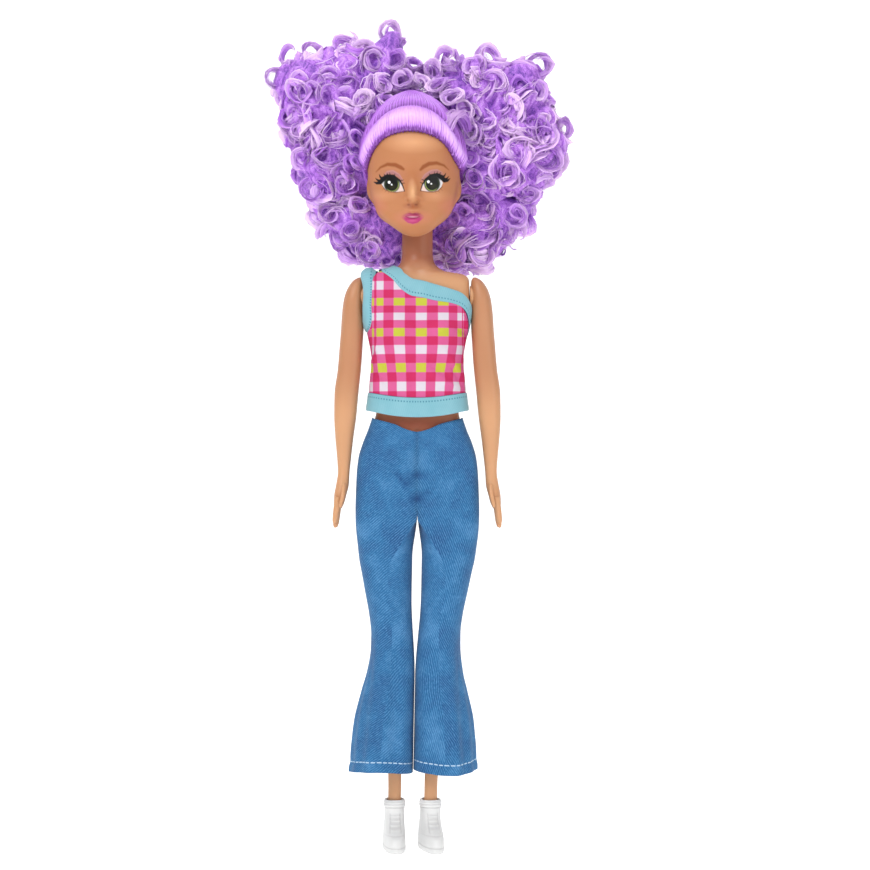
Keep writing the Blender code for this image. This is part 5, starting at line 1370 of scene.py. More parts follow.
def curl_paths(draw, curl, tightness):
    """Two locks and many fibres of one curl, each on a circle round the axis that tightens, within a band.

    A point is the centre, plus the circle's two directions times cosine and sine of a growing angle, plus the
    axis times its place in the band; the first steps reach back along the tail to the head.
    """
    centre, axis, radius, band, fibres, turns_made, tail, *_ = curl
    axis = axis / np.linalg.norm(axis)
    first = np.cross(axis, draw.normal(size=3))
    first /= np.linalg.norm(first)
    second = np.cross(axis, first)
    t = np.linspace(0, 1, CURL_STEPS)[None]
    place = np.concatenate([(-0.35, 0.35), draw.uniform(-1, 1, fibres)])[:, None]
    radial = np.concatenate([(-0.5, 0.7), draw.normal(0, 1.0, fibres)])[:, None]
    spin = draw.choice((-1, 1))
    angle = draw.uniform(0, 2 * math.pi) + spin * (2 * math.pi * turns_made * t + 0.25 * radial + 0.45 * place)
    r = radius * (1 - tightness * t**1.4) * (1 + 0.13 * radial) * (1 + 0.06 * np.sin(4 * angle + 3 * radial))
    axial = band * place * (1 - 0.35 * t) + 0.14 * radius * np.sin(2.3 * angle + radial)
    axial = axial + radius * draw.uniform(0.3, 2.0) * (t - 0.5)
    out = first * draw.uniform(0.7, 1.05) * np.cos(angle)[..., None] + second * np.sin(angle)[..., None]
    path = centre + out * r[..., None] + axis * axial[..., None]
    reach = (np.clip(1 - t / 0.25, 0, 1) ** 1.6)[..., None]
    path = path + (tail - centre) * reach * 0.8
    tilt = draw.uniform(0.2, 1.2)
    return path, axis * math.cos(tilt) + out * math.sin(tilt), radial


def curl_piece(names, curls, paints, seed, depth_of):
    """Two pieces of many curls, their broad locks and their loose fibres."""
    draw = np.random.default_rng(seed)
    t = np.linspace(0, 1, CURL_STEPS)[None]
    gathered = {"locks": ([], [], [], []), "fibres": ([], [], [], [])}
    for curl in curls:
        path, side, radial = curl_paths(draw, curl, draw.uniform(0.15, 0.60))
        # Painted shade and light: fibres further in on the curl and deeper in the mass darker, those further out
        # and at the mass's rim lighter, over the curl's own tone and random noise
        shade = curl.tone + 0.14 * radial + depth_of(path) + draw.normal(0, 0.09, (len(path), 1))
        shade = shade + 0.12 * np.sin(7 * t + draw.uniform(0, 6))
        taper = np.clip(np.minimum(t / 0.12, (1 - t) / 0.15), 0.18, 1)
        sizes = {"locks": LOCK_SHARE * curl.band * taper * (1 + 0 * radial[:2]),
                 "fibres": curl.width * taper * (1 + 0.15 * radial[2:])}
        for kind, part in (("locks", slice(0, 2)), ("fibres", slice(2, None))):
            for held, value in zip(gathered[kind], (path[part], side[part], sizes[kind], shade[part])):
                held.append(value)
    made = []
    for kind, maker in (("locks", ribbons), ("fibres", strands)):
        paths, across, widths, tones = (np.concatenate(held) for held in gathered[kind])
        extra = (LOCK_THICKNESS,) if kind == "locks" else ()
        made.append(maker(names[kind], paths, across, widths, *extra, paints[kind],
                          {"tone": np.clip(tones, 0.02, 1)}))
    return made


# Curls that stand out in the front view: across, down, radius, band, lean of the axis across and up, tone, and
# how far forward in millimetres, or none where they lie on the mass
HERO_CURLS = (
    (363, 99, 12.0, 4.5, -0.2, 0.5, 0.80, -9.0), (390, 31, 11.5, 7.0, 0.7, -0.2, 0.76, None),
    (346, 46, 12.5, 8.0, 0.1, 0.9, 0.70, None), (312, 52, 11.0, 7.0, 0.2, 0.2, 0.70, None),
    (290, 57, 10.0, 7.0, -0.5, 0.6, 0.72, None), (275, 78, 10.0, 7.0, 0.3, 0.1, 0.74, None),
    (330, 76, 12.0, 7.0, 0.4, 0.3, 0.58, None), (300, 92, 13.0, 7.0, 0.2, 0.4, 0.54, None),
    (333, 132, 16.0, 8.0, -0.3, 0.6, 0.66, None), (326, 158, 13.0, 8.0, 0.2, 0.7, 0.52, None),
    (300, 132, 11.0, 7.0, 0.5, 0.6, 0.44, None), (310, 190, 12.0, 7.0, 0.2, 0.3, 0.48, None),
    (328, 215, 13.0, 7.0, 0.3, 0.2, 0.52, None), (352, 232, 12.0, 7.0, -0.2, 0.3, 0.50, None),
    (346, 185, 12.5, 6.0, 0.1, 0.2, 0.50, None), (338, 238, 12.0, 6.0, 0.3, 0.2, 0.60, None),
    (396, 62, 12.0, 7.0, -0.3, 0.4, 0.58, 2.0), (372, 62, 11.0, 6.0, 0.6, 0.4, 0.64, None),
    (380, 84, 13.0, 6.0, 0.9, 0.9, 0.64, -5.0), (371, 119, 10.0, 6.0, 0.6, 0.3, 0.48, -8.0),
    (386, 102, 10.0, 5.0, 0.3, 0.9, 0.40, -8.0), (402, 80, 12.0, 6.0, -0.4, 0.6, 0.56, -3.0),
    (412, 66, 11.0, 7.0, 0.2, 0.5, 0.50, 3.0), (420, 82, 11.0, 6.0, 0.5, 0.8, 0.50, -4.0),
    (432, 70, 12.0, 7.0, 0.4, 0.2, 0.56, 1.0), (438, 87, 12.0, 6.0, -0.5, 0.7, 0.52, -5.0),
    (452, 97, 12.0, 6.0, -0.6, 0.5, 0.56, -8.0), (466, 111, 11.0, 6.0, -0.4, 0.5, 0.58, -8.0),
    (472, 134, 11.0, 6.0, -0.5, 0.2, 0.50, -6.0), (468, 158, 10.0, 6.0, 0.3, 0.3, 0.36, -3.0),
    (474, 180, 11.0, 6.0, 0.2, 0.4, 0.40, -1.0), (356, 139, 10.0, 6.0, 0.4, 0.3, 0.44, -5.0),
    (354, 163, 10.0, 6.0, 0.5, 0.4, 0.40, -3.0), (358, 205, 11.0, 6.0, 0.4, 0.4, 0.40, 2.0),
    (494, 83, 13.0, 6.0, 0.1, 0.1, 0.80, None), (475, 68, 12.0, 7.0, 0.2, 0.5, 0.70, None),
    (482, 120, 13.0, 7.0, 0.1, 0.2, 0.62, None), (505, 170, 15.0, 7.0, 0.1, -0.3, 0.70, None),
    (509, 128, 12.0, 5.0, 0.3, 0.4, 0.76, None), (550, 161, 15.0, 8.0, -0.1, 0.3, 0.62, None),
    (562, 128, 13.0, 7.0, 0.5, 0.1, 0.72, None), (538, 66, 15.0, 8.0, 0.3, -0.2, 0.70, None),
    (488, 56, 12.0, 8.0, 0.4, 0.4, 0.68, None), (520, 90, 12.0, 8.0, -0.3, 0.5, 0.34, None),
    (528, 195, 13.0, 7.0, 0.3, 0.1, 0.60, None), (480, 205, 14.0, 7.0, 0.2, 0.2, 0.42, None),
    (506, 234, 13.0, 7.0, -0.6, 0.3, 0.58, None), (480, 256, 14.0, 6.0, 0.1, 0.5, 0.66, None),
    (452, 250, 12.0, 7.0, 0.2, 0.3, 0.44, None), (532, 128, 12.0, 7.0, 0.2, 0.5, 0.44, None),
    (368, 252, 11.0, 6.0, 0.2, 0.2, 0.62, None), (446, 58, 12.0, 7.0, -0.2, 0.4, 0.62, 4.0),
    (292, 118, 12.0, 8.0, 0.2, 0.3, 0.50, None), (516, 216, 12.0, 7.0, 0.3, 0.2, 0.50, None),
    (417, 79, 11.0, 7.0, 0.2, 0.4, 0.56, 4.0), (426, 76, 11.0, 6.0, -0.3, 0.4, 0.52, 5.0),
    (350, 200, 12.0, 7.0, 0.2, 0.3, 0.52, None),
)


def colour_setting(name, description, *screen):
    """A colour among the settings, given as it looks on a screen."""
    return bpy.props.FloatVectorProperty(name=name, description=description, subtype="COLOR",
                                         default=linear(*screen), min=0, max=1)


def length_setting(name, description, usual, least, most):
    """A length among the settings, given in millimetres."""
    return bpy.props.FloatProperty(name=name, description=description, default=usual * MM, min=least * MM,
                                   max=most * MM, subtype="DISTANCE", unit="LENGTH")


class DollProperties(bpy.types.PropertyGroup):
    """Sizes and colours of the doll that a user would change."""

    skin: colour_setting("Skin", "Colour of the moulded limbs and trunk", 202, 150, 109)
    face: colour_setting("Face", "Colour of the vinyl head", 179, 119, 80)
    hair_dark: colour_setting("Hair shade", "Colour deep in the curls", 76, 18, 150)
    hair: colour_setting("Hair", "Main colour of the curls", 194, 126, 234)
    hair_light: colour_setting("Hair shine", "Colour of the palest fibres", 244, 214, 252)
    curls: bpy.props.IntProperty(name="Curls", description="How many loose curls cover the hair",
                                 default=540, min=50, max=2000)
    curl_radius: length_setting("Curl radius", "Middle radius of a curl", 3.6, 1, 8)
    fibre: length_setting("Fibre width", "Width of one fibre of a curl", 0.29, 0.05, 1)
    check_white: colour_setting("Check white", "Open squares of the gingham", 204, 196, 206)
    check_yellow: colour_setting("Check yellow", "Every other row of squares", 180, 182, 46)
    check_pink: colour_setting("Check pink", "Single stripes of the gingham", 200, 82, 136)
    check_crimson: colour_setting("Check crimson", "Where stripes cross", 188, 20, 84)
    tape: colour_setting("Tape", "Colour of the folded bindings", 140, 185, 196)
    tape_shade: colour_setting("Tape shade", "Ribs of the folded bindings", 104, 163, 177)
    denim: colour_setting("Denim", "Main colour of the jeans", 36, 99, 146)
    # The deep colour is also the colour of the painted shade in the seat's creases
    denim_deep: colour_setting("Denim deep", "Unfaded threads and folds", 18, 56, 108)
    denim_pale: colour_setting("Denim pale", "Faded threads", 94, 150, 198)


def rounded_hips(points):
    """The foot of the trunk drawn in to a round about the hip rod, so that the jeans can fold over it."""
    x, y, z = np.moveaxis(points, -1, 0)
    below = np.clip((HIP_Z - z) / (13 * MM), 0, 1)
    tuck = ease(HIP_Z + 10 * MM, HIP_Z, z)
    round_off = np.sqrt(1 - 0.85 * below**2)
    y = STAND_Y + (y - STAND_Y) * (1 - 0.28 * tuck) * round_off
    x = x * (1 - 0.08 * tuck) * (0.4 + 0.6 * round_off)
    return np.stack([x, y, np.where(z < HIP_Z, HIP_Z - 7.5 * MM * below, z)], -1)


class DOLL_OT_trunk(bpy.types.Operator):
    """The skin of the trunk and neck, with the seam of its two halves down each side"""

    bl_idname = "doll.trunk"
    bl_label = "Trunk"

    def execute(self, context):
        doll = context.scene.doll
        turn = full_turn(128)[None]
        level = np.concatenate([np.linspace(0.2, 14, 72), np.linspace(14.1, 20, 54)])[:, None]
        seam = bell(np.abs(np.sin(turn)), 0, 0.012)
        points = rounded_hips(body(turn, level, -0.12 * MM * seam))
        x, y, z = points[..., 0], points[..., 1], points[..., 2]
        navel = bell(x, 0, 0.9 * MM) * bell(z, 161.0 * MM, 1.2 * MM) * (y < STAND_Y)
        collar = bell(z, 221.0 * MM - 0.12 * np.abs(np.abs(x) - 7 * MM), 1.3 * MM)
        collar = collar * bell(np.abs(x), 9.0 * MM, 5 * MM)
        notch = bell(x, 0, 1.8 * MM) * bell(z, 221.5 * MM, 1.8 * MM)
        points[..., 1] += np.where(y < STAND_Y, 0.5 * navel + 0.45 * notch - 0.35 * collar, 0) * MM
        paint = skin_paint("skin_plastic", tuple(doll.skin), 0.44)
        # Painted shade: the neck darkened under the head, more towards its back, and a band round the front of
        # the waist under the top's hem
        neck = ease(217 * MM, 228 * MM, z) * (0.80 + 0.15 * ease(STAND_Y - 2 * MM, STAND_Y + 4 * MM, y))
        shade = np.maximum(neck * 0.95, 0.92 * bell(z, 163.0 * MM, 6.5 * MM) * (y < STAND_Y))
        made = facing_out(lofted("trunk_skin", points, paint, {"shade": shade}))
        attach(made, "trunk")
        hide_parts("torso_front", "torso_back")
        for name in ("neck_post", "hip_rod", "top_loop_strip", "top_hook_strip", "jeans_loop_strip",
                     "jeans_hook_strip"):
            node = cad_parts[name]
            shop = Shop(name + "_nylon")
            haze = shop.noise(shop.coords(), 700.0, 3.0)
            shop.finish(Base_Color=shop.mix(haze, (0.86, 0.85, 0.82), (0.93, 0.92, 0.90)),
                        Roughness=0.45 + haze * 0.2, Normal=shop.bump(haze, 0.2, 0.0001))
            node.data.materials.clear()
            node.data.materials.append(shop.material)
        return {"FINISHED"}


class DOLL_OT_arms(bpy.types.Operator):
    """Both arms, each with its palm, four fingers and thumb"""

    bl_idname = "doll.arms"
    bl_label = "Arms"

    def execute(self, context):
        doll = context.scene.doll
        paint = skin_paint("arm_plastic", tuple(doll.skin), 0.44)
        plane = shoulder_plane()
        last = ARM_SHARES[-1][0]
        drop = np.concatenate([np.linspace(0.001, 0.1, 26), np.linspace(0.11, 0.8, 90),
                               np.linspace(0.81, last, 40)])[:, None]
        turn = full_turn(56)[None]
        for name, side in (("arm_left", 1), ("arm_right", -1)):
            inner, outer, forward, deep = smooth(ARM_SHARES, drop)
            deep, forward = deep * ARM_HALF_DEPTH, forward * ARM_HALF_DEPTH
            inner = inner - 0.035 * (1 - ease(0.3, 0.5, drop))
            # Painted shade on the upper arm and on the hand
            shade = 0.32 * (1 - ease(0.36, 0.60, drop)) + 0.22 * ease(0.80, 0.95, drop) + 0 * turn
            points = oval(plane + inner * ARM_WIDTH, plane + outer * ARM_WIDTH, deep, deep,
                          ARM_TOP - drop * ARM_LENGTH, turn)
            points[..., 1] -= forward
            elbow = bell(drop, 0.50, 0.03) * np.clip(-np.sin(turn), 0, 1) ** 2
            points[..., 1] += 0.5 * MM * elbow
            pieces = [lofted(name + "_shape", self.set(points, side), paint, {"shade": shade}),
                      self.boss(name, plane, side, paint)]
            for forward_share, start, end, thick in FINGER_SHARES:
                t = np.linspace(0, 1, 22)
                down = start + (end + 0.018 - start) * np.sin(t * math.pi / 2)
                centre = plane + ARM_WIDTH * (1.02 + 0.125 * np.sin(1.9 * t))
                centre = centre + 1.1 * MM * (forward_share - 0.5) * t
                ahead = ARM_HALF_DEPTH * (0.49 + (forward_share - 0.5) * 1.28 * (1 - 0.30 * t))
                path = np.stack([centre + 0 * t, -ahead, ARM_TOP - down * ARM_LENGTH], -1)
                radii = 1.18 * thick * ARM_HALF_DEPTH * np.sqrt(np.clip(1 - (t * 0.985) ** 4, 0.02, 1))
                radii = radii * (1 - 0.28 * t)
                pieces.append(lofted(name + "_finger", self.set(tube(path, radii, 14), side), paint))
            rows = np.array(THUMB_SHARES)
            t = np.linspace(0, 1, 20)
            d, across, ahead = smooth(np.column_stack([np.linspace(0, 1, len(rows)), rows]), t)
            path = np.stack([plane + across * ARM_WIDTH, -ahead * ARM_HALF_DEPTH, ARM_TOP - d * ARM_LENGTH], -1)
            radii = 0.98 * MM * np.sqrt(np.clip(1 - (t * 0.99) ** 6, 0.02, 1)) * (1 - 0.30 * t)
            pieces.append(lofted(name + "_thumb", self.set(tube(path, radii, 14), side), paint))
            made = facing_out(joined(name + "_skin", pieces))
            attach(made, name)
            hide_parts(name)
        return {"FINISHED"}

    def boss(self, name, plane, side, paint):
        """The round boss between an arm and the trunk: a short turned post on the shoulder's axis."""
        turn = full_turn(48)[None]
        across, reach = np.array(((0.05, 0.02), (0.05, 0.9), (0.12, 1.0), (1.6, 1.0), (1.6, 0.02))).T[..., None]
        rings = np.broadcast_arrays(plane - SHOULDER_GAP + across * MM, BOSS_RADIUS * reach * np.cos(turn),
                                    SHOULDER_Z + BOSS_RADIUS * reach * np.sin(turn))
        rings = np.stack(rings, -1)
        return lofted(name + "_boss", self.set(rings, side), paint)

    def set(self, points, side):
        """Points mirrored to their side and put on the doll's stand."""
        return np.asarray(points) * np.array([side, 1, 1]) + np.array([0, STAND_Y, 0])


class DOLL_OT_legs(bpy.types.Operator):
    """Both legs, from inside the jeans down into the shoes"""

    bl_idname = "doll.legs"
    bl_label = "Legs"

    def execute(self, context):
        doll = context.scene.doll
        paint = skin_paint("leg_plastic", tuple(doll.skin), 0.46)
        turn = full_turn(56)[None]
        foot_inset = SHOE_WALL + PART_GAP
        foot_bottom = SOLE_THICKNESS + PART_GAP
        for name, side, yaw in (("leg_left", 1, LEFT_FOOT_YAW), ("leg_right", -1, RIGHT_FOOT_YAW)):
            height = np.linspace(LEG_SHARES[0][0], LEG_SHARES[-1][0], 150)[:, None] * HIP_Z
            inner, outer, front, back = smooth(LEG_SHARES[::-1], height / HIP_Z)
            slim = 0.8 * MM * ease(JEANS_HEM + 8 * MM, JEANS_HEM + 30 * MM, height)
            # The tops are drawn in, so that they stay inside the jeans when the hip bends
            front = front * (1 - 0.70 * ease(HIP_Z - 19 * MM, HIP_Z - 9 * MM, height))
            outer = outer * (1 - 0.20 * ease(HIP_Z - 24 * MM, HIP_Z - 10 * MM, height))
            back = back * (1 - 0.33 * ease(HIP_Z - 14 * MM, HIP_Z - 3 * MM, height))
            top = np.where(height > HIP_Z, HIP_Z + 0.62 * (height - HIP_Z), height)
            points = oval(inner * BODY_HALF_WIDTH + slim, outer * BODY_HALF_WIDTH - slim,
                          front * LEG_HALF_DEPTH - slim, back * LEG_HALF_DEPTH - slim, top, turn)
            low = np.linspace(0.55, 0.0, 26)[:, None] * (SHOE_HEIGHT - foot_bottom) + foot_bottom
            foot = yawed(foot_section(low, foot_inset, turn), side, yaw)
            made = facing_out(lofted(name + "_skin", leaning(np.concatenate([points, foot]), side), paint))
            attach(made, name)
            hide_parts(name)
        return {"FINISHED"}


class DOLL_OT_head(bpy.types.Operator):
    """The vinyl head with its printed eyes, brows and lips"""

    bl_idname = "doll.head"
    bl_label = "Head"

    def execute(self, context):
        doll = context.scene.doll
        turn = crowded(288, 3.4)[None]
        level = [np.linspace(low, high, count, endpoint=False)
                 for low, high, count in ((0, 1.5, 10), (1.5, 10.5, 178), (10.5, 12.5, 20))]
        level = np.concatenate([*level, np.linspace(12.5, 16, 12)])[:, None]
        points = proud_of(HEAD, turn, level, face_detail, 0.0)
        inside = np.array(points[:1])
        inside[..., 2] += 1.5 * MM
        inside[..., :2] *= 0.97
        points = np.concatenate([inside, points])
        colour, gloss = face_print_and_shade(points, tuple(doll.face))
        made = lofted("head_skin", points, face_paint(), {"ink": colour, "gloss": gloss})
        facing_out(made)
        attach(made, "head")
        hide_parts("head")
        return {"FINISHED"}


# The tuft's line in the front view: across, down and how far forward in millimetres
TUFT_KNOTS = (
    (444.0, 141.0, -17.0), (447.0, 128.0, -17.5), (451.5, 116.0, -16.5),
    (458.0, 112.5, -14.0), (464.0, 118.0, -11.5), (468.0, 130.0, -9.5),
)


class DOLL_OT_combed_hair(bpy.types.Operator):
    """The combed hair from the hairline back, and the small folded tuft beside it"""

    bl_idname = "doll.combed_hair"
    bl_label = "Combed hair"

    def execute(self, context):
        doll = context.scene.doll
        paint = hair_paint("combed_fibre", linear(104, 34, 134), tuple(doll.hair), linear(228, 190, 240), 0.36)
        turn = crowded(600, 0.9)[None]
        away = np.abs(from_face(turn))
        ragged = 0.5 * ripple(turn * 90, 3, 4) + 0.5 * ripple(turn * 260, 4, 3)
        start = hairline(turn) + 0.09 * ragged - 0.06
        share = np.linspace(0, 1, 44)[:, None] ** 1.5
        level = start + share * (len(HEAD_SHARES) - start)
        rise = level - hairline(turn)
        ridge = ripple(turn * 70 + 0.25 * rise, 5, 5) * 0.5 + ripple(turn * 240 + 0.1 * rise, 6, 4) * 0.5
        crease = bell(rise, 1.55, 0.17) * (1 - ease(0.75, 1.25, away))
        swell = CAP_THICKNESS * (0.25 + 1.05 * ease(0, 0.9, rise) - 0.25 * ease(1.8, 3.2, rise) - 0.55 * crease)
        outer = head(np.broadcast_to(turn, level.shape), level, CAP_GAP + swell + 0.16 * MM * ridge)
        inner = head(np.broadcast_to(turn, level[::-1].shape), level[::-1], 0.15 * MM)
        # The tone gives dark roots at a ragged hairline, a painted highlight band above them and darker hair
        # above that, painted shade in the crease, darker hair round the sides and back, and streaks along the
        # ridges
        root = 0.30 + 0.28 * ripple(turn * 150, 8, 4)
        spikes = np.abs(ripple(turn * 230, 12, 3))
        tone = 0.05 + 0.66 * ease(0.01 + 0.22 * spikes, 0.16 + 0.8 * root, rise)
        tone = tone + 0.16 * bell(rise + 0.12 * ridge, 0.82, 0.30) - 0.38 * ease(0.95, 1.5, rise + 0.4 * ridge)
        tone = tone * (1 - 0.45 * ease(0.9, 2.0, away)) * (1 - 0.6 * crease)
        tone = tone + (0.17 + 0.16 * ease(1.0, 1.5, rise)) * ridge
        made = lofted("combed_hair", np.concatenate([outer, inner]), paint,
                      {"tone": np.clip(np.concatenate([tone, 0 * tone + 0.1]), 0, 1)}, closed=True)
        facing_out(made)
        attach(made, "head")
        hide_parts("hair_cap")
        self.tuft(paint)
        return {"FINISHED"}

    def tuft(self, paint):
        """The folded tuft: fibres on one looping line, spread sideways by chance."""
        draw = np.random.default_rng(21)
        knots = np.array(TUFT_KNOTS)
        line = placed(knots[:, 0], knots[:, 1], knots[:, 2] * MM)
        t = np.linspace(0, 1, 26)
        line = np.stack(smooth(np.column_stack([np.linspace(0, 1, len(line)), line]), t), -1)
        count = 110
        sideways, lifted = draw.normal(0, 1.25 * MM, (2, count, 1))
        spread = (0.55 + 0.75 * np.sin(math.pi * t))[None]
        paths = line[None] + np.stack([sideways * spread, 0.5 * lifted * spread, 0.55 * lifted * spread], -1)
        across = np.broadcast_to(np.array([0.8, 0.1, 0.5]), paths.shape)
        tone = np.clip(0.42 + 0.5 * bell(t, 0.42, 0.28)[None] + draw.normal(0, 0.12, (count, 1)), 0, 1)
        widths = np.full(paths.shape[:2], 0.26 * MM)
        made = strands("hair_tuft_fibres", paths, across, widths, paint, {"tone": tone})
        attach(made, "head")
        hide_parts("hair_tuft")


class DOLL_OT_curls(bpy.types.Operator):
    """The loose curls: rolling masses painted dark as shade, covered with coiled locks and fibres"""

    bl_idname = "doll.curls"
    bl_label = "Curls"

    def execute(self, context):
        doll = context.scene.doll
        colours = (tuple(doll.hair_dark), tuple(doll.hair), tuple(doll.hair_light))
        paints = {"fibres": hair_paint("curled_fibre", *colours), "locks": lock_paint("curled_lock", *colours)}
        packed = mass_paint("packed_hair", *colours)
        draw = np.random.default_rng(5)
        listed = {mass.name: [] for mass in MASSES}
        for across, down, reach, band, lean_x, lean_z, tone, forward in HERO_CURLS:
            mass = self.mass_at(across, down)
            y = self.surface_y(mass, across, down) - 0.5 * MM if forward is None else forward * MM
            centre = placed(across, down, y)
            tail = centre + (np.array(mass.middle) - centre) * TAIL_SHARE
            at_edge = in_mass(mass, centre[0], centre[2]) > 0.85
            axis = np.array([lean_x, -1.0, lean_z])
            width = doll.fibre * (RIM_FIBRE_SHARE if at_edge else 1.0)
            listed[mass.name].append(Curl(centre, axis, reach * STEP, band * STEP * HERO_BAND_SHARE, HERO_FIBRES,
                                          draw.uniform(1.2, 1.9), tail, tone, width))
        for mass in MASSES:
            curls = listed[mass.name] + self.scattered(mass, draw, doll)
            self.core(mass, curls, packed)
            parts = max(1, math.ceil(sum(curl.fibres for curl in curls) * FIBRE_TRIANGLES / PIECE_TRIANGLES))
            for k in range(parts):
                names = {kind: f"{kind}_{mass.name}_{k + 1}" for kind in paints}
                for made in curl_piece(names, curls[k::parts], paints, 100 + 10 * k + len(mass.name),
                                       self.depth_of(mass)):
                    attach(made, "head")
        return {"FINISHED"}

    def mass_at(self, across, down):
        """The mass of curls that a place of the front view lies in."""
        point = placed(across, down, 0.0)
        return min(MASSES, key=lambda mass: in_mass(mass, point[0], point[2]))

    def surface_y(self, mass, across, down):
        """How far forward a mass reaches at a place: its dome follows from the share of its outline."""
        point = placed(across, down, mass.middle[1])
        share = np.clip(in_mass(mass, point[0], point[2]), 0, 1)
        return mass.middle[1] - mass.deep * 0.9 * math.sqrt(max(0.0, 1 - float(share) ** (2 / FULL_SHARE)))

    def depth_of(self, mass):
        """A function that paints shade on fibres towards the middle of a mass and a little low down, and paints
        light on them at its rim.
        """
        def shade(path):
            share = in_mass(mass, path[..., 0], path[..., 2])
            bulge = np.abs(path[..., 1] - mass.middle[1]) / mass.deep
            outward = np.sqrt(np.clip(share, 0, 1.3) ** 2 + bulge**2)
            low = ease(262 * MM, 232 * MM, path[..., 2]) * 0.04
            return 0.50 * (outward - 1.02) - low
        return shade

    def scattered(self, mass, draw, doll):
        """Curls spread by chance over a mass, more on its rim, each turned roughly away from it."""
        name, outline, reach, middle, deep, span = mass
        wanted = doll.curls * CURL_SHARES[name]
        made = []
        while len(made) < wanted:
            angle = draw.uniform(0, 2 * math.pi)
            if draw.uniform() < 0.62:
                back = math.asin(math.sqrt(draw.uniform()) ** (1 / FULL_SHARE))
                back = back if draw.uniform() < 0.50 else math.pi - back
            else:
                back = draw.uniform(1.2, 1.94)
            edge = reach * smooth(outline, np.array(np.degrees(angle)))[0]
            r = max(edge - 2.4 * MM, 0.6 * edge) * math.sin(back) ** FULL_SHARE * draw.uniform(0.95, 1.03)
            y = middle[1] - (deep - 2.2 * MM) * math.cos(back)
            z = min(max(middle[2] + r * math.sin(angle), span[0] + 1.0 * MM), span[1] - 3.0 * MM)
            centre = np.array([middle[0] + r * math.cos(angle), y, z])
            if name == "back" and abs(centre[0]) < 12 * MM and y < 6 * MM:
                continue
            squash = (centre - np.array(HEAD_ROOM_MIDDLE)) / np.array(HEAD_ROOM_REACH) / MM
            if np.linalg.norm(squash) < 1.0:
                continue
            slope = FULL_SHARE * edge * max(math.sin(back), 0.02) ** (FULL_SHARE - 1) * math.cos(back)
            wide = deep * math.sin(back)
            out = np.array([wide * math.cos(angle), -slope, wide * math.sin(angle)])
            axis = out / np.linalg.norm(out) + draw.normal(0, 0.65, 3)
            size = doll.curl_radius * draw.uniform(0.62, 1.55)
            rim = 1.25 < back < 1.9
            band, turns = size * draw.uniform(0.40, 0.80), draw.uniform(1.1, 2.0)
            tail = centre + (np.array(middle) - centre) * TAIL_SHARE
            # A random tone, raised as painted light: a little on the rim, and more on the left and back masses
            # than on the doll's right one
            tone = draw.uniform(0.38, 0.88) + 0.05 * rim + (0.05 if name == "right" else 0.10)
            width = doll.fibre * (RIM_FIBRE_SHARE if rim else 1.0)
            made.append(Curl(centre, axis, size, band, 7 if rim else 10, turns, tail, tone, width))
        return made

    def core(self, mass, curls, paint):
        """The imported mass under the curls, shaped like the frame's hair solid and ridged where curls lie."""
        name, outline, reach, middle, deep, span = mass
        turn, back = np.meshgrid(full_turn(170), np.linspace(0, math.pi, 102)[1:-1])
        wave = CORE_WAVE * np.sin(8 * turn + 2 * back) * np.sin(5 * back - turn)
        spread = (reach * smooth(outline, np.degrees(turn))[0] + wave - CORE_INSET) * np.sin(back) ** FULL_SHARE
        points = np.stack([middle[0] + spread * np.cos(turn),
                           middle[1] - (deep + wave - CORE_INSET) * np.cos(back),
                           middle[2] + spread * np.sin(turn)], -1)
        under, above = (0.6, 1.0) if name == "back" else (2.2, -1.5)
        points[..., 2] = np.clip(points[..., 2], span[0] - under * MM * np.sin(back), span[1] + above * MM)
        ridge = np.zeros(turn.shape)
        for curl in curls:
            away = np.linalg.norm(points - curl.centre, axis=-1)
            coil = bell(away, curl.radius, 0.9 * MM) - 0.8 * bell(away, 0, 0.55 * curl.radius)
            ridge = np.maximum(ridge, coil)
        points += unit(points - np.array(middle)) * ridge[..., None] * CORE_RIDGE
        # The packed hair is marked dark as painted shade under the curls, a little lighter on the ridges where
        # curls lie
        made = lofted(f"hair_core_{name}", points, paint, {"tone": np.clip(0.25 + 0.26 * ridge, 0, 1)})
        facing_out(made)
        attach(made, "head")
        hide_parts("hair_back" if name == "back" else f"hair_bunch_{name}")


def straightened(x, row_x, row_values):
    """Values read from one row at each point's place across, so that a pattern runs straight up."""
    order = np.argsort(row_x)
    rising = row_values[order[-1]] > row_values[order[0]]
    return np.interp(x, row_x[order], np.sort(row_values)[::1 if rising else -1])


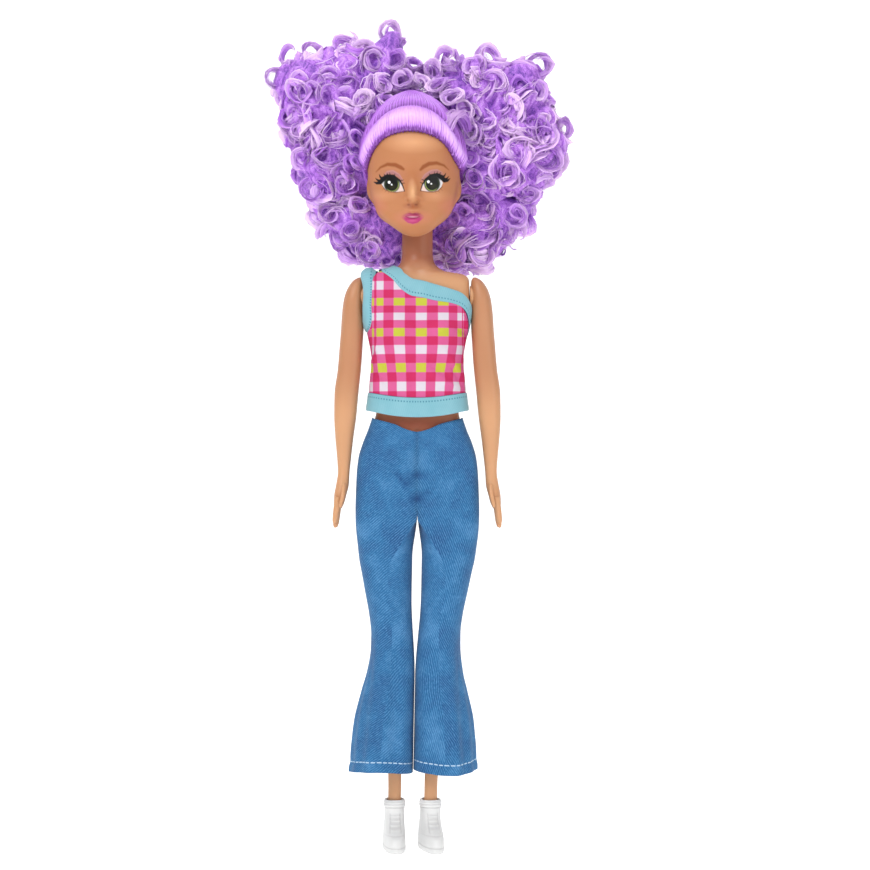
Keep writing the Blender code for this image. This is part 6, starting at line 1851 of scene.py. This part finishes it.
class DOLL_OT_top(bpy.types.Operator):
    """The one-shoulder gingham top with its three tape bindings"""

    bl_idname = "doll.top"
    bl_label = "Top"

    def execute(self, context):
        doll = context.scene.doll
        turn = np.sort(np.append(full_turn(196), np.radians(TOP_EDGE_TURNS)))
        edge = mirrored_edge(TOP_EDGE_SHARES, turn)[0]
        highest = edge.max()
        bend = edge - TOP_SQUEEZE_ROWS
        share = np.linspace(0, 1, 84)[:, None]
        level = TOP_BOTTOM_ROW + share * (highest - TOP_BOTTOM_ROW)
        squeezed = bend + TOP_SQUEEZE_ROWS * (level - bend) / (highest - bend)
        level = np.where(level < bend, level, squeezed)
        off = TOP_GAP + HEM_PROUD * (1 - ease(0, HEM_FADE_SHARE, share)) + placket(turn)
        around = np.broadcast_to(turn, level.shape)
        outer = body(around, level, off + TOP_CLOTH)
        crumple = folds(outer, TOP_FOLDS) + folds(outer * np.array([-1, 1, 1]), TOP_FOLDS[2:8], behind=True)
        lap = 0.35 * MM * ease(0.0, 0.02, turn - 1.5 * math.pi) * (1 - ease(0.10, 0.30, turn - 1.5 * math.pi))
        crumple = crumple + lap + 0.10 * MM * ripple(around * 9 + 0.6 * level, 31, 4) * (1 - share)
        crumple = crumple * ease(0.0, 0.05, share) * ease(0, 0.6, (edge - level))
        outer = body(around, level, off + TOP_CLOTH + crumple)
        inner = body(around, level, off + crumple)[::-1]
        hang = hem_droop(turn) * (1 - ease(0.02, 0.16, share)) - 0.5 * MM * (share < 0.005)
        outer[..., 2] += hang
        inner[..., 2] += hang[::-1]
        cut = self.checks(outer, level, turn)
        cotton = facing_out(lofted("gingham_top", np.concatenate([outer, inner]), check_paint(doll), closed=True,
                                   cut=np.concatenate([cut, cut[:1]])))
        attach(cotton, "trunk")
        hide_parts("top_body")
        tapes = self.bindings(binding_paint(doll))
        return {"FINISHED"}

    def checks(self, outer, level, turn):
        """Which check each point lies in, across and up: by the length round the top and by the height.

        Above one row, and all the way behind, the checks follow the place across instead and run straight up.
        """
        length = arc_lengths(outer)
        front = int(np.argmin(np.abs(turn - math.pi / 2)))
        z = np.concatenate([outer[..., 2], outer[:, :1, 2]], 1) / MM
        wide = np.interp(z, *np.array(CHECK_WIDTHS).T)
        columns = -(length - length[:, front:front + 1]) / MM / wide - 0.19
        calm = int(np.searchsorted(level.mean(1), STRAIGHT_CHECK_ROW))
        back = int(np.argmin(np.abs(turn - 1.5 * math.pi)))
        all_turn = np.append(turn, 2 * math.pi)
        x = np.concatenate([outer[..., 0], outer[:, :1, 0]], 1)
        ahead, rear = all_turn <= math.pi, all_turn > math.pi
        columns[calm:, ahead] = straightened(x[calm:, ahead], x[calm, ahead], columns[calm, ahead])
        level_back = (length[calm, back] - length[calm]) / MM / BACK_CHECK_WIDTH + columns[calm, back]
        upright = straightened(x[:, rear], x[calm, rear], level_back[rear])
        columns[:, rear] += (upright - columns[:, rear]) * ease(0.0, 0.6, all_turn[rear] - math.pi)
        rows = np.interp(z, *np.array(CHECK_ROWS).T)
        cut = np.stack([columns, rows], -1)
        return np.concatenate([cut, cut[::-1]])

    def bindings(self, paint):
        """The neckline, armhole and hem tapes."""
        turn = full_turn(300)
        low, high = mirrored_edge(NECKLINE_SHARES, turn)
        neck = tape("neckline_tape", low, high, turn, CLOTH_GAP + placket(turn)[None], 1.0 * MM, paint)
        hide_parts("neckline_binding")
        low, high = (np.full_like(turn, row) for row in HEM_ROWS)
        base = CLOTH_GAP + HEM_PROUD + placket(turn)[None] - 0.3 * MM
        hem = tape("hem_tape", low + 0.02, high + 0.12, turn, base, 1.7 * MM, paint, hem_droop(turn))
        hem.data.uv_layers["cut"].data.foreach_set("uv", self.turned_cut(hem))
        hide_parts("hem_binding")
        about = full_turn(200)
        share, lift = tape_section(24)
        ends = {}
        for edge in ("inner", "outer"):
            wide, under, over, power = ARMHOLE_SHARES[edge]
            c, s = bowed(np.cos(about), power), bowed(np.sin(about), power)
            rise = np.where(s > 0, over, under) * s
            ends[edge] = (math.pi + np.radians(wide) * c, ARMHOLE_SHARES["level"] + rise)
        around, level = (outer + share[:, None] * (inner - outer)
                         for outer, inner in zip(ends["outer"], ends["inner"]))
        high = (1.25 + 1.1 * np.clip(np.sin(about), 0, 1) ** 2) * MM * ease(0.0, 0.35, share)[:, None]
        rings = body(around, level, CLOTH_GAP + (0.3 * MM + high) * lift[:, None])
        along = arc_lengths(rings[:1])[0]
        cut = np.stack(np.broadcast_arrays(along[None], share[:, None]), -1)
        arm = facing_out(lofted("armhole_tape", rings, paint, closed=True, cut=np.concatenate([cut, cut[:1]])))
        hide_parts("armhole_binding")
        for made in (neck, hem, arm):
            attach(made, "trunk")
        return [neck, hem, arm]

    def turned_cut(self, made):
        """The hem's cut turned over, so that its stitches run along its upper edge."""
        flat = np.empty(len(made.data.loops) * 2, np.float32)
        made.data.uv_layers["cut"].data.foreach_get("uv", flat)
        flat[1::2] = 1 - flat[1::2]
        return flat


def hem_droop(turn):
    """How far the top's hem hangs below level: most in the middle of the front."""
    before = np.where(np.sin(turn) > 0, -1.5, -0.3) * np.sin(turn) ** 2
    return (before + 0.5 * np.cos(turn) ** 2) * MM


# Folds of the jeans, as for the top
JEANS_FOLDS = (
    ((1.5, 138.0), (-10.0, 147.5), 1.5, -1.1),
    ((-1.5, 141.0), (-11.0, 152.0), 1.9, 0.6),
    ((3.0, 138.5), (7.0, 143.5), 1.1, -0.8),
    ((1.0, 133.5), (-5.0, 139.5), 1.3, -0.6),
    ((12.0, 150.0), (19.0, 157.0), 3.0, 0.4),
    ((-16.0, 60.0), (-13.0, 100.0), 2.6, 0.5),
    ((-8.0, 40.0), (-9.0, 88.0), 2.2, -0.6),
    ((-20.5, 38.0), (-16.0, 70.0), 2.0, -0.5),
    ((8.0, 36.0), (6.5, 86.0), 2.3, -0.5),
    ((14.0, 40.0), (11.0, 80.0), 2.2, 0.6),
    ((18.5, 36.0), (14.5, 66.0), 1.8, -0.5),
    ((11.0, 96.0), (17.0, 112.0), 2.5, 0.35),
    ((-15.0, 100.0), (-9.0, 112.0), 2.2, -0.35),
)
# Slant of the twill on each panel, the thickness of the cloth, and the height over which seat and leg are mixed
LEFT_TWILL = math.radians(62)
RIGHT_TWILL = math.radians(38)
JEANS_THICKNESS = 0.45 * MM
MIX_HEIGHT = 26 * MM
# Painted shade in the creases of the seat, seen from the front: path as (across, down, half width), softness and
# strength
JEANS_CREASE_SHADE = (
    (((396, 473, 0.5), (408, 487, 2.0), (416, 498, 3.2), (421, 503, 1.5)), 5.0, 0.90),
    (((433, 488, 0.4), (426, 496, 1.4), (421, 503, 1.5)), 4.0, 0.6),
    (((413.5, 432, 0.3), (416.5, 470, 0.4), (421, 500, 0.6)), 1.0, 0.8),
)


class DOLL_OT_jeans(bpy.types.Operator):
    """The flared jeans: a left and a right panel sewn at the middle"""

    bl_idname = "doll.jeans"
    bl_label = "Jeans"

    def execute(self, context):
        doll = context.scene.doll
        for name, side, slant in (("left", 1, LEFT_TWILL), ("right", -1, RIGHT_TWILL)):
            paint = denim_paint(doll, f"denim_{name}", slant)
            made = self.panel(name, side, paint)
            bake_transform(made)
            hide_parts(f"jeans_leg_{name}")
            if side > 0:
                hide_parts("jeans_seat")
        return {"FINISHED"}

    def panel(self, name, side, paint):
        """One panel: a half shell round the hip that closes to a tube below the crotch.

        Above, a point lies on the trunk at a turn and a height, a little proud of it. Below, the section is an
        oval from the leg's table widened by the ease, and the two are mixed over a short height.
        """
        half, inner_count = 81, 34
        turn = np.linspace(math.pi / 2, -math.pi / 2, half)
        inner_turn = np.linspace(-math.pi / 2, -3 * math.pi / 2, inner_count + 2)[1:-1]
        seat_rows, leg_rows = 40, 124
        heights = np.array([row[1] for row in BODY])
        edge_row = waist(turn % (2 * math.pi))
        edge_z = np.interp(edge_row, range(len(BODY)), heights)
        share = np.linspace(0, 1, seat_rows)[:, None]
        z = edge_z + share * (CROTCH_Z - edge_z)
        level = np.interp(z, heights, range(len(BODY)))
        off = CLOTH_GAP + DENIM + placket((turn % (2 * math.pi)))[None] * (1 - ease(0.75, 1.0, share))
        upper = body(np.broadcast_to(turn, z.shape), level, off) * np.array([side, 1, 1])
        upper[..., 0] = np.where(np.abs(upper[..., 0]) < 0.06 * MM, 0, upper[..., 0])
        low_z = np.linspace(CROTCH_Z, JEANS_HEM, leg_rows)[1:, None]
        all_turn = np.concatenate([turn, inner_turn])[None]
        tube_part = self.leg(low_z, all_turn, side)
        mix = ease(0, 1, (CROTCH_Z - low_z) / MIX_HEIGHT)
        seat = np.concatenate([upper[-1], np.zeros((inner_count, 3))])[None]
        inner_share = np.linspace(0, 1, inner_count + 2)[1:-1]
        back_mid, front_mid = upper[-1, -1], upper[-1, 0]
        bridge = back_mid + (front_mid - back_mid) * inner_share[:, None]
        bridge[:, 0] = 0
        bridge[:, 2] = CROTCH_Z - 1.6 * MM * np.sin(math.pi * inner_share)
        seat[0, half:] = bridge
        drop = seat.repeat(len(low_z), 0)
        drop[..., 2] = low_z
        power = np.concatenate([np.ones(half), 1 - 0.5 * np.sin(math.pi * inner_share) ** 2])
        sooner = (mix ** power[None])[..., None]
        lower = drop * (1 - sooner) + tube_part * sooner
        lower = self.parted(lower, side)
        points, faces, cut = self.sewn(upper, lower, seat[0, half:], half, inner_count)
        fold = folds(points, JEANS_FOLDS) + folds(points * np.array([-1, 1, 1]), JEANS_FOLDS[5:], behind=True)
        low = (points[:, 2] - JEANS_HEM) / MM
        flare = ease(60, 10, low)
        middle_x = LEG_LEAN * np.clip(1 - points[:, 2] / LEG_LEAN_TOP, 0, None) + side * 11.0 * MM
        out = unit(np.stack([points[:, 0] - middle_x, points[:, 1] - STAND_Y, np.zeros(len(points))], -1), 1e-9)
        around = np.arctan2(out[:, 1], out[:, 0])
        fold = fold * np.where(points[:, 2] > 112 * MM, ease(0.0, 4 * MM, np.abs(points[:, 0])), 1)
        sway = 0.55 * MM * flare * np.sin(5 * around + 1.3 * side)
        sway = sway + 0.30 * MM * flare * np.sin(11 * around + side)
        pucker = 0.16 * MM * bell(low, STITCH_HEIGHT, 0.9) * (np.sin(around * 46) - 1.2)
        hem_roll = 0.25 * MM * bell(low, 1.5, 1.6)
        inward = np.clip(-side * out[:, 0], 0, 1)
        points = points + out * ((fold + sway * (1 - inward)) + (pucker + hem_roll) * (1 - inward))[:, None]
        points[:, 2] += 0.6 * MM * flare * np.sin(2 * around + side) * (low < 12)
        across, down = seen(points)
        shade = np.max([strength * stroke(across, down, path, soft)
                        for path, soft, strength in JEANS_CREASE_SHADE], 0)
        shade = shade * (points[:, 1] < STAND_Y)
        made = make_mesh(f"jeans_{name}", points, faces, paint, {"hem": low, "shade": shade}, cut)
        facing_out(made)
        thick = made.modifiers.new("Cloth", "SOLIDIFY")
        thick.thickness = JEANS_THICKNESS
        thick.offset = -1
        return facing_out(applied(made))

    def parted(self, lower, side):
        """The inner sides of a leg: closed under the crotch, open between the thighs, nearly touching below."""
        z = lower[..., 2]
        middle = LEG_LEAN * np.clip(1 - z / LEG_LEAN_TOP, 0, None)
        off = side * (lower[..., 0] - middle)
        gap = 0.05 + 1.75 * ease(129, 112, z / MM) * ease(66, 98, z / MM) + 0.02 * ease(112, 60, z / MM)
        now = np.min(off, axis=1, keepdims=True)
        near = 1 - ease(0, 7 * MM, off - now)
        moved = off + (gap * MM - now) * near
        lower = np.array(lower)
        lower[..., 0] = middle + side * np.where(z > 129.5 * MM, off, moved)
        return lower

    def leg(self, height, turn, side):
        """The leg's section widened by the ease, mirrored and leaning."""
        inner, outer, front, back = smooth(LEG_SHARES[::-1], height / HIP_Z)
        room = [share * JEANS_EASE + PART_GAP + DENIM
                for share in smooth(EASE_SHARES[::-1], height / HIP_Z)]
        points = oval(inner * BODY_HALF_WIDTH - room[0], outer * BODY_HALF_WIDTH + room[1],
                      front * LEG_HALF_DEPTH + room[2], back * LEG_HALF_DEPTH + room[3], height, turn)
        return leaning(points, side)

    def sewn(self, upper, lower, bridge, half, inner_count):
        """The points and faces of a panel: the open seat, the bridge under the crotch and the closed leg."""
        rows = len(upper)
        width = half + inner_count
        points = np.vstack([upper.reshape(-1, 3), bridge, lower.reshape(-1, 3)])
        seat_faces, seat_place = grid_faces(rows, half, wrap=False)
        junction = np.concatenate([(rows - 1) * half + np.arange(half), rows * half + np.arange(inner_count)])
        first = rows * half + inner_count
        leg_faces, leg_place = grid_faces(len(lower), width, first=first)
        low = first + np.arange(width)
        join = np.stack([junction, np.roll(junction, -1), np.roll(low, -1), low], -1)
        length_up = np.concatenate([[0], np.cumsum(np.linalg.norm(np.diff(upper[rows - 1], axis=0), axis=1))])
        low_length = arc_lengths(lower)
        outer_seam = low_length[:, half // 2:half // 2 + 1]
        across_low = low_length - outer_seam
        across_up = np.broadcast_to(length_up - length_up[half // 2], (rows, half))
        up_seat = upper[..., 2]
        up_low = np.concatenate([lower[..., 2], lower[:, :1, 2]], 1)
        seat_cut = np.stack([across_up, up_seat], -1)[seat_place[..., 0], seat_place[..., 1]]
        leg_cut = np.stack([across_low, up_low], -1)[leg_place[..., 0], leg_place[..., 1]]
        j = np.arange(width)
        top_line = np.stack([across_low[0], np.full(width + 1, CROTCH_Z)], -1)
        low_line = np.stack([across_low[0], up_low[0]], -1)
        join_cut = np.stack([top_line[j], top_line[j + 1], low_line[j + 1], low_line[j]], 1)
        cut = np.concatenate([seat_cut.reshape(-1, 2), join_cut.reshape(-1, 2), leg_cut.reshape(-1, 2)])
        return points, [seat_faces, join, leg_faces], cut


class DOLL_OT_shoes(bpy.types.Operator):
    """The white slip-on shoes with rolled collars, moulded laces and soles"""

    bl_idname = "doll.shoes"
    bl_label = "Shoes"

    def execute(self, context):
        paint = shoe_paint()
        turn = full_turn(88)[None]
        for name, side, yaw in (("shoe_left", 1, LEFT_FOOT_YAW), ("shoe_right", -1, RIGHT_FOOT_YAW)):
            share = np.linspace(0, 1, SHOE_ROWS)[:, None]
            outer = foot_section(share * SHOE_HEIGHT, 0.0, turn)
            front = np.clip(np.sin(turn), 0, 1)
            beside = np.abs(np.cos(turn))
            laces = bell((share - 0.40) % 0.085, 0.0425, 0.017) * ease(0.38, 0.42, share)
            laces = laces * (1 - ease(0.70, 0.74, share)) * front**2 * (beside < 0.42)
            tongue = bell(beside, 0.46, 0.05) * front * ease(0.36, 0.42, share) * (1 - ease(0.74, 0.78, share))
            cap = bell(share, 0.345, 0.012) * front
            sole = bell(share, 0.115, 0.010)
            collar = bell(share, 0.865, 0.012) + 0.8 * bell(share, 0.935, 0.010)
            proud = 0.28 * laces - 0.20 * tongue - 0.16 * cap - 0.18 * sole - 0.22 * collar
            proud = proud + 0.12 * (share < 0.11)
            middle = np.array([ankle_x(), 0.0])
            out = unit(outer[..., :2] - middle, 1e-9)
            outer[..., :2] += out * proud[..., None] * MM
            rim_share = np.linspace(1, 0, 24)[:, None]
            inner = foot_section(SOLE_THICKNESS + rim_share * (SHOE_HEIGHT - SOLE_THICKNESS), SHOE_WALL, turn)
            rounding = np.linspace(0, math.pi, 9)[1:-1][:, None, None]
            top, inside = outer[-1:], inner[:1]
            rim = (top + inside) / 2 + (top - inside) / 2 * np.cos(rounding)
            rim[..., 2] += 0.45 * MM * np.sin(rounding[..., 0])
            bottom = np.array(outer[:1])
            bottom[..., :2] = (bottom[..., :2] - middle) * 0.90 + middle
            rings = leaning(yawed(np.concatenate([bottom, outer, rim, inner]), side, yaw), side)
            # Painted shade in the grooves of the tongue, toe cap, sole and collar, and between the laces
            hollow = np.clip(0.50 * tongue + 0.35 * cap + 0.45 * sole + 0.60 * collar
                             + 0.30 * (1 - laces) * front**2 * (beside < 0.42) * ease(0.42, 0.5, share)
                             * (1 - ease(0.7, 0.76, share)), 0, 1)
            marks = np.zeros((len(rings), turn.size))
            marks[1:SHOE_ROWS + 1] = hollow
            made = facing_out(lofted(name + "_vinyl", rings, paint, {"hollow": marks}))
            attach(made, name)
            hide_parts(name)
        return {"FINISHED"}


# The stage: name, place, size and power of each lamp, the height they aim at, the strength of the world's light
# and the width of the camera's sensor in millimetres
LAMPS = (
    ("Key", (-0.45, -0.90, 1.05), (0.6, 0.6), 10.6),
    ("Fill", (0.85, -0.80, 0.45), (0.6, 0.8), 2.6),
    ("Top", (0.0, 0.15, 1.15), (0.9, 0.6), 4.2),
)
LAMP_AIM_Z = 0.17
WORLD_STRENGTH = 0.43
SENSOR_WIDTH = 36.0


class DOLL_OT_stage(bpy.types.Operator):
    """A plain pale floor and sweep, soft studio lamps and the camera in front of the doll"""

    bl_idname = "doll.stage"
    bl_label = "Stage"

    def execute(self, context):
        scene = context.scene
        shop = Shop("paper_sweep")
        haze = shop.noise(shop.coords(), 3.0, 2.0)
        paper = shop.finish(Base_Color=shop.mix(haze, (0.90, 0.90, 0.90), (0.93, 0.93, 0.93)), Roughness=0.95,
                            Emission_Color=(1.0, 1.0, 1.0, 1.0), Emission_Strength=0.45)
        bend = [(0.9 + 0.8 * math.sin(a), 0.8 - 0.8 * math.cos(a)) for a in np.linspace(0, math.pi / 2, 24)]
        line = np.array([(-3.0, 0.0), *bend, (1.7, 3.2)])
        across = np.linspace(-3.5, 3.5, 2)
        points = np.stack([np.broadcast_to(across[None], (len(line), 2)), np.repeat(line[:, :1], 2, 1),
                           np.repeat(line[:, 1:], 2, 1)], -1)
        faces, _ = grid_faces(len(line), 2, wrap=False)
        floor = make_mesh("paper_sweep", points, [faces], paper)
        world = scene.world or bpy.data.worlds.new("Studio")
        scene.world = world
        world.use_nodes = True
        world.node_tree.nodes["Background"].inputs[0].default_value = (1.0, 1.0, 1.0, 1.0)
        world.node_tree.nodes["Background"].inputs[1].default_value = WORLD_STRENGTH
        scene.view_settings.view_transform = "Standard"
        for name, at, size, power in LAMPS:
            light = bpy.data.lights.new(name, "AREA")
            light.shape = "RECTANGLE"
            light.size, light.size_y = size
            light.energy = power
            lamp = bpy.data.objects.new(name, light)
            lamp.location = at
            aim = np.array([0, 0, LAMP_AIM_Z]) - np.array(at)
            flat = math.hypot(aim[0], aim[1])
            lamp.rotation_euler = (math.atan2(flat, -aim[2]), 0, math.atan2(-aim[0], aim[1]))
            scene.collection.objects.link(lamp)
        eye = bpy.data.cameras.new("Camera")
        eye.sensor_width = SENSOR_WIDTH
        eye.lens = SENSOR_WIDTH * VIEW_DISTANCE / (PICTURE * STEP)
        camera = bpy.data.objects.new("Camera", eye)
        camera.location = (VIEW_X, STAND_Y - VIEW_DISTANCE, VIEW_Z)
        camera.rotation_euler = (math.pi / 2, 0, 0)
        scene.collection.objects.link(camera)
        scene.camera = camera
        return {"FINISHED"}


class DOLL_PT_panel(bpy.types.Panel):
    """Lists the doll's settings and its building steps"""

    bl_label = "Fashion doll"
    bl_idname = "DOLL_PT_panel"
    bl_space_type = "VIEW_3D"
    bl_region_type = "UI"
    bl_category = "Doll"

    def draw(self, context):
        for name in DollProperties.__annotations__:
            self.layout.prop(context.scene.doll, name)
        for step in STEPS:
            self.layout.operator(step.bl_idname)


STEPS = (DOLL_OT_trunk, DOLL_OT_arms, DOLL_OT_legs, DOLL_OT_head, DOLL_OT_combed_hair, DOLL_OT_curls,
         DOLL_OT_top, DOLL_OT_jeans, DOLL_OT_shoes, DOLL_OT_stage)


def register():
    """Makes the classes known and hangs the settings on the scene."""
    for one in (DollProperties, *STEPS, DOLL_PT_panel):
        bpy.utils.register_class(one)
    bpy.types.Scene.doll = bpy.props.PointerProperty(type=DollProperties)


def unregister():
    """Takes the settings and the classes away again."""
    del bpy.types.Scene.doll
    for one in (DOLL_PT_panel, *STEPS[::-1], DollProperties):
        bpy.utils.unregister_class(one)


def main():
    """Builds the doll step by step."""
    register()
    for step in STEPS:
        group, action = step.bl_idname.split(".")
        getattr(getattr(bpy.ops, group), action)()


if __name__ == "__main__":
    main()
